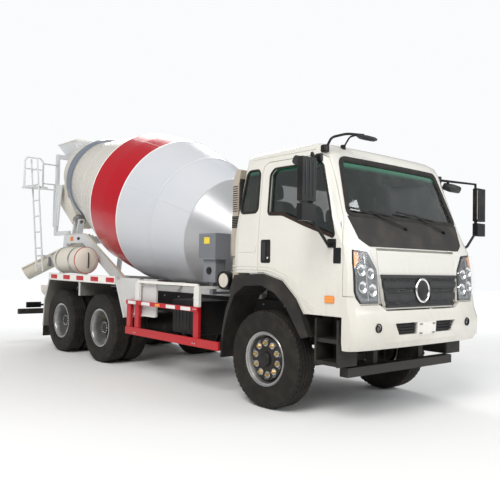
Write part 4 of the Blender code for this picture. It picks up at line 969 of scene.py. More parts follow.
def make_drum(sizes):
    """The drum's shell: its outline drawn finely, with weld beads raised as narrow bells along it."""
    profile = dense(DRUM_PROFILE, 0.012, closed=False)
    outer = np.arange(len(profile)) < np.argmax(profile[:, 0])
    beads = sum(np.exp(-((profile[:, 0] - place) / 0.006) ** 2)
                for place in (1.057, 1.70, 2.353, 3.251, 3.95, 4.62))
    corner = (profile[:, 0] > 1.0) & (profile[:, 0] < 4.7)
    profile[:, 1] += outer * corner * beads * sizes.weld_height
    shell = piece("drum_shown", revolved(profile, DRUM_START, DRUM_AXIS, 144), "drum", "drum_paint", 28)
    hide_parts("drum")
    # lengthwise seams on the front cone, and the flange at the gearbox with its bolts
    lengths = []
    for turn in (-0.72, 1.37, 3.46):
        s = np.linspace(1.06, 2.35, 60)
        radius = np.interp(s, DRUM_PROFILE[1:9, 0], DRUM_PROFILE[1:9, 1]) + 0.0005
        axis, first, second = directions(DRUM_AXIS)
        path = DRUM_START + s[:, None] * axis + radius[:, None] * (math.sin(-turn) * first + math.cos(turn)
                                                                   * second)
        lengths.append(swept(path, circle(0.004, 6)))
    piece("drum_seams", joined(lengths), "drum", "frame_paint", 60)
    flange = revolved(((0.165, 0.16), (0.165, 0.325), (0.190, 0.330), (0.250, 0.330), (0.252, 0.10)),
                      DRUM_START,
                      DRUM_AXIS, 72)
    piece("drum_flange", flange, "drum", "bare_steel", 30)
    bolt = placed(hexagon_nut(0.017, 0.018), DRUM_START + 0.166 * DRUM_AXIS, -DRUM_AXIS)
    axis, first, second = directions(DRUM_AXIS)
    bolt = bolt.moved(first * 0.29)
    piece("drum_bolts", around(bolt, 18, DRUM_START, tuple(DRUM_AXIS)), "drum", "bare_steel", 30)


# Cab


WINDSCREEN = ((-0.955, 2.02), (0.955, 2.02), (0.845, 2.61), (-0.845, 2.61))
DOOR_WINDOW = ((0.0, 2.09), (0.03, 2.062), (0.22, 2.052), (0.54, 1.93), (0.92, 1.80), (0.935, 1.83),
               (0.735, 2.53),
               (0.70, 2.56), (0.06, 2.56), (0.0, 2.50))
QUARTER_WINDOW = ((-0.44, 2.14), (-0.41, 2.10), (-0.19, 2.10), (-0.16, 2.14), (-0.16, 2.53), (-0.19, 2.57),
                  (-0.33, 2.57), (-0.37, 2.53))
BUMPER_TABLE = np.array(((0.735, 1.195), (0.80, 1.225), (0.98, 1.235), (1.10, 1.195), (1.26, 1.175)))

NODE_LOOKS = {
    "cab_shell": ("cab_paint", 0.005), "front_bumper": ("cab_paint", 0.006),
              "front_lid": ("cab_paint", 0.004),
    "door_right": ("cab_paint", 0.003), "door_left": ("cab_paint", 0.003),
              "windscreen": ("tinted_glass", 0.0),
    "door_glass_right": ("tinted_glass", 0.0), "door_glass_left": ("tinted_glass", 0.0),
    "dashboard": ("cab_trim", 0.008), "steering_wheel": ("black_plastic", 0.003),
    "mirror_right": ("black_plastic", 0.008), "mirror_left": ("black_plastic", 0.008),
    "chassis_frame": ("chassis_paint", 0.003), "mixer_subframe": ("frame_paint", 0.004),
    "rear_pedestal": ("frame_paint", 0.004), "drum_gearbox": ("casting", 0.005), "engine": ("casting", 0.012),
    "front_axle": ("casting", 0.004), "middle_axle": ("casting", 0.005), "rear_axle": ("casting", 0.005),
    "bogie_suspension": ("chassis_paint", 0.004), "fuel_tank": ("chassis_paint", 0.014),
    "battery_box": ("black_plastic", 0.010), "exhaust_silencer": ("chassis_paint", 0.006),
    "side_guard_right": ("guard_paint", 0.004), "side_guard_left": ("guard_paint", 0.004),
    "front_mudguard_right": ("dark_plastic", 0.005), "front_mudguard_left": ("dark_plastic", 0.005),
    "cab_step_right": ("dark_plastic", 0.006), "cab_step_left": ("dark_plastic", 0.006),
    "rear_mudguard_right": ("mudguard_paint", 0.003), "rear_mudguard_left": ("mudguard_paint", 0.003),
    "hopper": ("frame_paint", 0.003), "discharge_funnel": ("cream_paint", 0.003),
    "extension_chute": ("cream_paint", 0.002), "discharge_chute": ("cream_paint", 0.003),
    "chute_swivel": ("frame_paint", 0.004), "ladder": ("frame_paint", 0.0),
              "water_tank": ("cream_paint", 0.003),
    "oil_cooler": ("grey_paint", 0.005), "air_intake": ("beige_plastic", 0.006),
    "knuckle_right": ("casting", 0.003), "knuckle_left": ("casting", 0.003),
              "roller_right": ("bare_steel", 0.003),
    "roller_left": ("bare_steel", 0.003),
}


def show_cad_nodes():
    for node, (look, width) in NODE_LOOKS.items():
        smooth_copy(node, look, width)


def side_points(points, sign, lift):
    """Points of (x, z) laid on the cab's side, lift outside it."""
    points = np.asarray(points, float)
    y = sign * (cab_side(points[:, 1]) + lift)
    return np.stack((points[:, 0], y, points[:, 1]), axis=1)


def side_plate(outline, sign, low, high):
    """A plate on the cab's side between two distances from its skin."""
    loops = np.stack((side_points(outline, sign, low), side_points(outline, sign, high)))
    return surface(loops, round_v=True, caps=True)


def rectangle(x0, x1, z0, z1):
    return ((x0, z0), (x1, z0), (x1, z1), (x0, z1))


# Flat pads on the cab's side: name, spans in X and Z, corners, distances from the skin, look, slot and bevel
SIDE_PADS = (
    ("rear_panel_press", (-0.43, -0.16, 1.66, 1.76), 0.02, -0.002, 0.005, "cab_paint", "cab_paint", 0.003),
    ("door_handle_bezel", (-0.075, 0.07, 1.545, 1.795), 0.025, -0.002, 0.005, "black_plastic", "dark_plastic",
     0.002),
    ("door_handle", (-0.045, 0.005, 1.57, 1.77), 0.012, 0.004, 0.016, "grey_plastic", "dark_plastic", 0.005),
    ("door_marker", (0.835, 0.950, 1.170, 1.240), 0.012, -0.002, 0.014, "amber_lens", "dark_plastic", 0.003),
    ("door_vent", (0.93, 1.02, 1.55, 1.70), 0.01, -0.002, 0.006, "black_plastic", "dark_plastic", 0.002),
    ("mirror_foot", (0.86, 0.96, 1.70, 1.785), 0.012, -0.004, 0.014, "black_plastic", "dark_plastic", 0.004),
)


def make_side_pads(pads, side, sign):
    for name, spans, corner, low, high, look, slot, bevel in pads:
        body = "cab" if name == "rear_panel_press" else f"door_{side}"
        pad = side_plate(rounded_loop(rectangle(*spans), corner), sign, low, high)
        piece(f"{name}_{side}", pad, body, look, 30, bevel)


def make_cab_trim(sizes):
    radius = sizes.seal_radius
    screen = dense(rounded_loop(WINDSCREEN, 0.07), 0.05)
    flat = ((-0.030, -0.006), (0.030, -0.006), (0.030, 0.004), (0.020, 0.010), (-0.020, 0.010),
            (-0.030, 0.004))
    seal = swept(front_loop(screen, 0.001), flat, up=(1, 0, 0), closed=True)
    piece("windscreen_seal", seal, "cab", "seal_rubber", 60)
    for side, sign in SIDES:
        door = f"door_{side}"
        loop = dense(rounded_loop(DOOR_WINDOW, 0.03), 0.05)
        seal = swept(side_points(loop, sign, -0.004), circle(radius * 0.85, 10), up=(0, 1, 0), closed=True)
        piece(f"door_window_seal_{side}", seal, door, "seal_rubber", 60)
        belt = dense(((0.015, 2.075), (0.22, 2.066), (0.54, 1.945), (0.915, 1.815)), 0.04, closed=False)
        strip = swept(side_points(belt, sign, 0.004), ((-0.016, -0.004), (0.016, -0.004), (0.016, 0.004),
                                                       (-0.016, 0.004)), up=(0, 1, 0))
        piece(f"door_belt_strip_{side}", strip, door, "brown_strip", 30)
        loop = dense(rounded_loop(QUARTER_WINDOW, 0.04), 0.05)
        seal = swept(side_points(loop, sign, 0.0), circle(radius, 10), up=(0, 1, 0), closed=True)
        piece(f"quarter_seal_{side}", seal, "cab", "seal_rubber", 60)
        piece(f"quarter_glass_{side}", side_plate(QUARTER_WINDOW, sign, -0.012, -0.006), "cab",
              "tinted_glass")
        x = np.linspace(-0.455, -0.145, 60)
        z = np.linspace(2.08, 2.59, 8)
        fold = 0.010 * np.sin(x * 110)
        hang = np.stack((np.repeat(x[:, None], 8, 1), sign * (cab_side(z)[None] - 0.075 + fold[:, None]),
                         np.repeat(z[None], 60, 0)), axis=2)
        curtain = piece(f"quarter_curtain_{side}", surface(hang), "cab", "curtain", 80)
        solid = curtain.modifiers.new("cloth", "SOLIDIFY")
        solid.thickness = 0.002
        creases = []
        for z0 in (1.505, 1.470):
            path = dense(((-0.545, z0), (-0.135, z0)), 0.05, closed=False)
            creases.append(swept(side_points(path, sign, 0.001), circle(0.0045, 6), up=(0, 1, 0)))
        piece(f"rear_creases_{side}", joined(creases), "cab", "cab_paint", 60)
        creases = []
        for drop in (0.0, 0.035):
            path = rounded_path(((-0.105, 1.505 - drop), (0.05, 1.505 - drop), (0.38, 1.40 - drop),
                                 (0.60, 1.15 - drop), (0.70, 1.10 - drop)), 0.12, 8)
            creases.append(swept(side_points(path, sign, 0.001), circle(0.0045, 6), up=(0, 1, 0)))
        piece(f"door_creases_{side}", joined(creases), door, "cab_paint", 60)
        make_side_pads(SIDE_PADS[:3], side, sign)
        lock = revolved(((0.0, 0.014), (0.010, 0.014), (0.012, 0.011), (0.012, 0.0)),
                        (0.035, sign * 1.122, 1.60), (0, sign, 0), 24)
        piece(f"door_lock_{side}", lock, door, "chrome", 30)
        make_side_pads(SIDE_PADS[3:], side, sign)
        make_mirror_faces(side, sign, door)
        wide = side_block(sign, (0.66, 0.80), (1.20, 1.44), (2.475, 2.565), 0.03)
        wide = leaned(wide, np.array((0.73, 0.0, 2.52)), 24)
        stem = tube([(x, sign * y, z) for x, y, z in ((0.735, 1.19, 2.60), (0.73, 1.25, 2.565))], 0.012)
        piece(f"wide_mirror_{side}", wide + stem, door, "grey_plastic", 40)
        feet = side_block(sign, (0.66, 0.73), (1.055, 1.10), (2.56, 2.64), 0.012)
        feet = feet + side_block(sign, (0.675, 0.70), (1.09, 1.14), (2.53, 2.62), 0.006)
        piece(f"mirror_bracket_{side}", feet, door, "black_plastic", 40)
        gutter = dense(((-0.30, 2.695), (0.05, 2.70), (0.62, 2.70)), 0.05, closed=False)
        piece(f"roof_gutter_{side}", swept(side_points(gutter, sign, 0.0), circle(0.009, 8), up=(0, 1, 0)),
              "cab",
              "cab_paint", 60)


def make_mirror_faces(side, sign, door):
    """Glass on the housings' rear faces, pale edges, and ribs on their front."""
    glass_plate = joined(side_block(sign, (0.9262, 0.9298), (1.468, 1.622), span, 0.0015)
                         for span in ((2.125, 2.495), (1.942, 2.073)))
    piece(f"mirror_glass_{side}", glass_plate, door, "mirror", 40)
    edge = side_block(sign, (0.985, 0.994), (1.4532, 1.4552), (2.13, 2.49), 0.0005)
    piece(f"mirror_edge_{side}", edge, door, "beige_plastic", 40)
    ribs = joined(side_block(sign, (0.9945, 1.000), (y, y + 0.012), (2.15, 2.47), 0.002)
                  for y in (1.485, 1.535, 1.585))
    piece(f"mirror_ribs_{side}", ribs, door, "grey_plastic", 40)


def bumper_patch(y0, y1, z0, z1, lift, thickness):
    """A plate following the bumper's front between two widths and heights."""
    y, z = np.linspace(y0, y1, 9), np.linspace(z0, z1, 7)
    x = np.interp(z, BUMPER_TABLE[:, 0], BUMPER_TABLE[:, 1])[None]
    recess = np.interp(np.abs(y) / 1.13, CORNER_CURVE[:, 0], CORNER_CURVE[:, 1])[:, None] * 0.6
    grid = np.stack((x - recess + lift, np.repeat(y[:, None], 7, 1), np.repeat(z[None], 9, 0)), axis=2)
    back = grid - np.array((thickness, 0, 0))
    return plate_between(grid, back)


def both(shape):
    return shape + shape.mirrored()


def make_cab_face():
    edge = ((0.80, 1.722), (0.915, 1.785), (0.975, 2.015))
    cowl = front_patch(edge, [(-y, z) for y, z in edge], 0.006, 0.012, 9, 41)
    piece("cowl_panel", cowl, "cab", "dark_plastic", 30)
    arms, blades = [], []
    for start, end in (((0.62, 1.93), (0.10, 2.07)), ((-0.12, 1.93), (-0.66, 2.07))):
        arms.append(swept(front_loop(np.linspace(start, end, 8), 0.030), circle(0.007, 8), up=(1, 0, 0)))
        middle = np.array(end)
        blade = np.linspace(middle + (0.36, -0.025), middle - (0.30, -0.03), 12)
        blades.append(swept(front_loop(blade, 0.020), ((-0.005, -0.012), (0.005, -0.012), (0.007, 0.010),
                                                       (-0.007, 0.010)), up=(1, 0, 0)))
        arms.append(revolved(((-0.02, 0.020), (0.012, 0.018), (0.018, 0.0)),
                             front_loop([start], 0.020)[0], (1, 0, 0.3), 20))
    piece("wiper_arms", joined(arms), "cab", "black_plastic", 40)
    piece("wiper_blades", joined(blades), "cab", "seal_rubber", 40)
    # the lid's grille
    back = front_patch(((0.60, 1.128), (0.675, 1.445)), ((-0.60, 1.128), (-0.675, 1.445)), 0.011, 0.014, 7,
                       33)
    piece("grille_mesh", back, "front_lid", "mesh", 30)
    strip = front_patch(((0.678, 1.418), (0.684, 1.452)), ((-0.678, 1.418), (-0.684, 1.452)), 0.022, 0.020,
                        3, 33)
    piece("grille_top_strip", strip, "front_lid", "grey_plastic", 30)
    bars = []
    for low, high, reach, lift in ((1.318, 1.388, 0.655, 0.024), (1.332, 1.374, 0.650, 0.030),
                                   (1.188, 1.268, 0.628, 0.024), (1.205, 1.251, 0.623, 0.030),
                                   (1.132, 1.150, 0.606, 0.020)):
        near = 0.140 if low > 1.14 else 0.002
        bars.append(both(front_patch(((reach, low), (reach + 0.012, high)), ((near, low), (near, high)), lift,
                                     0.018, 3, 15)))
    piece("grille_bars", joined(bars), "front_lid", "grey_plastic", 30, 0.003)
    middle = front_loop([(0.0, 1.295)], 0.026)[0]
    ring = ring_solid([(math.sin(t) * 0.011, 0.116 + math.cos(t) * 0.014) for t in np.arange(10)
                       * math.tau / 10],
                      middle, (1, 0, 0.05), 72)
    piece("face_ring", ring, "front_lid", "chrome", 60)
    disc = revolved(((-0.020, 0.110), (-0.002, 0.108), (0.004, 0.095), (0.006, 0.0)), middle, (1, 0, 0.05),
                    60)
    piece("face_disc", disc, "front_lid", "black_plastic", 30)
    # headlamps
    outer = ((1.005, 1.174), (1.062, 1.262), (1.066, 1.56), (1.050, 1.685))
    inner = ((0.715, 1.174), (0.718, 1.32), (0.722, 1.49), (0.850, 1.668))
    piece("lamp_borders", both(front_patch(outer, inner, 0.004, 0.010, 9, 9)), "cab", "black_plastic", 30,
          0.002)
    shrink = lambda loop, by: [(y + (0.885 - y) * by, z + (1.41 - z) * by) for y, z in loop]
    piece("lamp_bowls", both(front_patch(shrink(outer, 0.10), shrink(inner, 0.10), 0.006, 0.006, 17, 17,
                                         -0.012)),
          "cab", "lamp_metal", 60)
    cups, eyes, rings = [], [], []
    for y, z, size in ((0.815, 1.30, 0.062), (0.955, 1.33, 0.058), (0.840, 1.46, 0.055),
                       (0.965, 1.49, 0.058)):
        at = front_loop([(y, z)], 0.004)[0]
        cups.append(revolved(((0.0, size), (0.012, size), (0.014, size * 0.94), (0.004, size * 0.55)), at,
                             (1, 0, 0.1), 40))
        eyes.append(revolved(((0.0, size * 0.56), (0.008, size * 0.52), (0.016, size * 0.34),
                              (0.019, 0.0)), at,
                             (1, 0, 0.1), 32))
    rings.append(front_patch(((0.896, 1.20), (0.930, 1.62)), ((0.882, 1.20), (0.916, 1.62)), 0.022, 0.014,
                             9, 3))
    piece("lamp_cups", both(joined(cups)), "cab", "chrome", 40)
    piece("lamp_eyes", both(joined(eyes)), "cab", "dark_glass", 40)
    piece("lamp_bars", both(joined(rings)), "cab", "chrome", 40)
    piece("lamp_lenses", both(front_patch(shrink(outer, 0.03), shrink(inner, 0.03), 0.026, -0.023, 13, 13,
                                          0.010)),
          "cab", "clear_lens", 60)
    piece("lamp_indicators", both(front_patch(((1.052, 1.52), (1.040, 1.665)),
                                              ((0.995, 1.57), (0.985, 1.655)), 0.012,
                                              0.006, 5, 5)), "cab", "amber_lens", 60)
    # bumper
    slats = joined(both(bumper_patch(0.185, 0.48 + (z - 0.87) * 0.5, z, z + 0.012, -0.012, 0.020))
                   for z in (0.885, 0.915, 0.945))
    piece("bumper_slats", slats, "cab", "black_plastic", 30)
    piece("bumper_mesh", both(bumper_patch(0.175, 0.50, 0.868, 0.976, -0.034, 0.004)), "cab", "mesh", 30)
    piece("plate_blank", bumper_patch(-0.165, 0.165, 0.850, 0.975, 0.002, 0.012), "cab", "white_paint",
          30, 0.002)
    slots = joined(bumper_patch(y - 0.022, y + 0.022, z - 0.005, z + 0.005, 0.013, 0.004)
                   for y in (-0.115, 0.115) for z in (0.866, 0.959))
    piece("plate_slots", slots, "cab", "black_plastic", 30)
    fogs, lenses = [], []
    for sign in (-1, 1):
        at = (np.interp(0.946, *BUMPER_TABLE.T) - 0.026, sign * 0.80, 0.946)
        fogs.append(ring_solid(((0.0, 0.046), (0.024, 0.044), (0.026, 0.036), (0.0, 0.034)), at, (1, 0, 0),
                               40))
        lenses.append(revolved(((0.0, 0.035), (0.014, 0.032), (0.020, 0.0)), at, (1, 0, 0), 32))
    piece("fog_rings", joined(fogs), "cab", "black_plastic", 40)
    piece("fog_lenses", joined(lenses), "cab", "dark_glass", 60)
    # the look-down mirror at the kerb side
    oval = revolved(((-0.022, 0.0), (-0.020, 0.07), (-0.006, 0.10), (0.010, 0.104), (0.022, 0.085),
                     (0.030, 0.0)),
                    (0.0, 0.0, 0.0), (0, 0, 1), 40)
    centre = np.array((0.95, -0.66, 2.815))
    oval = leaned(Shape(oval.points * (0.75, 1.35, 1.0), oval.faces), np.zeros(3), 14).moved(centre)
    piece("kerb_mirror", oval, "cab", "grey_plastic", 40)
    arm = tube(((0.73, -1.02, 2.69), (0.78, -1.00, 2.80), (0.86, -0.86, 2.845), (0.945, -0.70, 2.84)),
               0.013, 0.04)
    arm = arm + tube(((0.70, -0.72, 2.74), (0.80, -0.74, 2.84), (0.90, -0.74, 2.845)), 0.009, 0.03)
    piece("kerb_mirror_arm", arm, "cab", "black_plastic", 60)
    knobs = block((0.69, -1.065, 2.655), (0.755, -0.985, 2.73), 0.018)
    knobs = knobs + block((0.68, -0.745, 2.72), (0.72, -0.695, 2.775), 0.012)
    piece("kerb_mirror_feet", knobs, "cab", "black_plastic", 40)


def cushion(low, high, power=4.0, crown=0.03, steps=40):
    """A crowned pad: a superellipsoid |x|^p + |y|^p + |z|^p = 1, raised by crown (1 - x^2)(1 - y^2)."""
    low, high = np.asarray(low, float), np.asarray(high, float)
    u = np.linspace(-math.pi / 2, math.pi / 2, steps)[:, None]
    v = (np.arange(steps * 2) * math.tau / (steps * 2))[None]
    bend = lambda value: np.sign(value) * np.abs(value) ** (2 / power)
    x, y, z = bend(np.cos(u)) * bend(np.cos(v)), bend(np.cos(u)) * bend(np.sin(v)), bend(np.sin(u)) + 0 * v
    points = np.stack((x, y, z), axis=2)
    swell = crown * (1 - x ** 2) * (1 - y ** 2) * np.sign(z)
    points = (low + high) / 2 + points * (high - low) / 2
    points[..., 2] += swell
    return surface(points, round_v=True)


def leaned(shape, pivot, degrees):
    turn = np.array(Matrix.Rotation(math.radians(degrees), 3, "Y"))
    return Shape((shape.points - pivot) @ turn.T + pivot, shape.faces)


def make_seats():
    low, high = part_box("cab_seats")
    x0, x1, z0, z1 = low.x - FRONT_X, high.x - FRONT_X, low.z, high.z
    seat_top = z0 + 0.40 * (z1 - z0)
    for name, y0, y1 in (("right", -0.86, -0.30), ("middle", -0.27, 0.20), ("left", 0.30, 0.86)):
        pad = cushion((x0 + 0.20, y0, seat_top - 0.17), (x1, y1, seat_top), 5.0, 0.018)
        pivot = np.array((x0 + 0.22, 0.0, seat_top - 0.05))
        back = cushion((x0 + 0.10, y0 + 0.01, seat_top - 0.08), (x0 + 0.24, y1 - 0.01, z1 - 0.27), 4.5, 0.0)
        rest = cushion((x0 + 0.10, (y0 + y1) / 2 - 0.13, z1 - 0.25),
                       (x0 + 0.20, (y0 + y1) / 2 + 0.13, z1 - 0.05),
                       3.5, 0.0, 24)
        (piece(f"seat_pad_{name}", pad, "cab", "seat_fabric", 80)
                     or bpy.data.objects[f"seat_pad_{name}"])
        for kind, shape in (("back", leaned(back, pivot, -9)), ("headrest", leaned(rest, pivot, -9))):
            piece(f"seat_{kind}_{name}", shape, "cab", "seat_fabric", 80)
        base = block((x0 + 0.22, y0 + 0.03, z0), (x1 - 0.06, y1 - 0.03, seat_top - 0.16), 0.02)
        piece(f"seat_base_{name}", base, "cab", "black_plastic", 40)
    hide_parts("cab_seats")


# Chassis and mixer fittings


def make_side_guard_details():
    for side, sign in SIDES:
        patches = [side_block(sign, (x - 0.10, x + 0.10), (1.214, 1.2175), (0.950, 0.994), 0.001)
                   for x in (-2.55, -2.20, -1.62, -1.30)]
        # The white patches glow faintly through their lens look: a painted glow.
        piece(f"guard_patches_{side}", joined(patches), "chassis", "white_patch", 40)
        lamp = side_block(sign, (-1.96, -1.86), (1.210, 1.228), (0.952, 0.992), 0.006)
        piece(f"guard_lamp_{side}", lamp, "chassis", "amber_lens", 40)
        path = [(x, sign * 1.17, z) for x,
                z in ((-2.46, 1.235), (-2.46, 1.262), (-1.12, 1.262), (-1.12, 1.235))]
        tubes = swept(rounded_path(path, 0.04, 4), ((-0.017, -0.017), (0.017, -0.017), (0.017, 0.017),
                                                    (-0.017, 0.017)), up=(0, 1, 0))
        piece(f"guard_tube_{side}", tubes, "chassis", "white_paint", 30, 0.003)
        bolts = joined(placed(hexagon_nut(0.010, 0.008), (x, sign * 1.214, z), (0, sign, 0), (1, 0, 0))
                       for x in (-2.48, -2.44, -1.14, -1.10) for z in (0.565, 0.975))
        piece(f"guard_bolts_{side}", bolts, "chassis", "bare_steel", 30)


def make_mudguard_details():
    for side, sign in SIDES:
        strip = side_block(sign, (-5.30, -3.03), (1.216, 1.224), (1.205, 1.315), 0.002)
        piece(f"mudguard_strip_{side}", strip, "chassis", "white_paint", 30)
        marks = joined(side_block(sign, (x, x + 0.24), (1.222, 1.2265), (1.225, 1.295), 0.001)
                       for x in np.arange(-5.20, -3.2, 0.48))
        piece(f"mudguard_marks_{side}", marks, "chassis", "red_paint", 30)
        rim = [(x, sign * 1.128, z) for x, z in ((-3.05, 1.21), (-2.80, 0.745), (-2.76, 0.745), (-2.76, 0.80),
                                                 (-2.10, 0.80))]
        piece(f"mudguard_rim_{side}", tube(rim, 0.009, 0.03), "chassis", "white_paint", 60)
        u = np.linspace(0, 1, 14)[:, None]
        v = np.linspace(0, 1, 10)[None]
        y = sign * (0.70 + 0.48 * v + 0 * u)
        z = 0.44 - 0.24 * u + 0 * v
        x = -5.560 - 0.030 * u - 0.010 * np.sin(u * 5) * np.cos(v * 7)
        front, back = (np.stack((x + shift, y, z), axis=2) for shift in (0.004, -0.004))
        flap = plate_between(front, back)
        piece(f"mud_flap_{side}", flap, "chassis", "flap_rubber", 40)
        lamp_low = (-7.05, 0.66, 0.66)
        colours = (("red_lens", 0.62, 0.74), ("amber_lens", 0.75, 0.83), ("clear_lens", 0.84, 0.90))
        for look, y0, y1 in colours:
            lens = side_block(sign, (lamp_low[0] - 0.02, lamp_low[0]), (y0, y1), (0.60, 0.69), 0.008)
            piece(f"tail_{look}_{side}", lens, "chassis", look, 40)
        case = side_block(sign, (lamp_low[0] - 0.004, lamp_low[0] + 0.05), (0.61, 0.91), (0.59, 0.70), 0.008)
        piece(f"tail_case_{side}", case, "chassis", "black_plastic", 40)
        arm = side_block(sign, (-7.04, -7.01), (0.40, 0.70), (0.62, 0.66), 0.003)
        piece(f"tail_arm_{side}", arm, "chassis", "chassis_paint", 40)


def make_frame_details():
    rivets = []
    nut = hexagon_nut(0.012, 0.010)
    for sign in (-1, 1):
        for x in np.arange(-6.5, 0.7, 0.36):
            for z in (0.86, 1.04):
                rivets.append(placed(nut, (x, sign * 0.4255, z), (0, sign, 0), (1, 0, 0)))
    piece("rail_bolts", joined(rivets), "chassis", "bare_steel", 30)
    tanks = []
    for x in (-1.95, -1.62):
        dome = ((0.0, 0.0), (0.004, 0.05), (0.020, 0.085), (0.050, 0.10), (0.42, 0.10), (0.45, 0.085),
                (0.466, 0.05),
                (0.47, 0.0))
        tanks.append(revolved(dome, (x, 0.10 - 0.235, 0.83), (0, 1, 0), 32))
    piece("air_tanks", joined(tanks), "chassis", "chassis_paint", 35)
    straps = [ring_solid(((y, 0.101), (y + 0.02, 0.101), (y + 0.02, 0.104), (y, 0.104)),
                         (x, 0.10 - 0.235, 0.83),
                         (0, 1, 0), 32) for x in (-1.95, -1.62) for y in (0.10, 0.35)]
    piece("air_tank_straps", joined(straps), "chassis", "bare_steel", 40)
    low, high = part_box("fuel_tank")
    x0, x1 = low.x - FRONT_X, high.x - FRONT_X
    bands = joined(block((x - 0.025, low.y - 0.001, low.z - 0.001),
                         (x + 0.025, high.y + 0.003, high.z + 0.003),
                         0.012) for x in (x0 + 0.22, x1 - 0.22))
    piece("fuel_tank_bands", bands, "chassis", "chassis_paint", 40)
    cap = revolved(((0.0, 0.05), (0.03, 0.05), (0.036, 0.042), (0.038, 0.0)),
                   (x0 + 0.40, high.y - 0.12, high.z), (0, 0, 1), 32)
    piece("fuel_cap", cap, "chassis", "black_plastic", 40)
    low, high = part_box("battery_box")
    x0, x1 = low.x - FRONT_X, high.x - FRONT_X
    ribs = joined(block((x, low.y - 0.004, low.z + 0.06), (x + 0.02, low.y + 0.01, high.z - 0.05), 0.004)
                  for x in np.arange(x0 + 0.06, x1 - 0.05, 0.075))
    piece("battery_ribs", ribs, "chassis", "black_plastic", 40)
    leaves = []
    for sign in (-1, 1):
        for step in range(7):
            reach = 0.70 - step * 0.075
            x = np.linspace(-reach, reach, 25)
            z = 0.700 - step * 0.016 + 0.10 * (x / 0.76) ** 2
            middle = (MIDDLE_X + REAR_X) / 2
            path = np.stack((x + middle, np.full(25, sign * 0.50), z), axis=1)
            leaves.append(swept(path, ((-0.038, -0.006), (0.038, -0.006), (0.038, 0.006), (-0.038, 0.006))))
    piece("spring_leaves", joined(leaves), "chassis", "chassis_paint", 30)


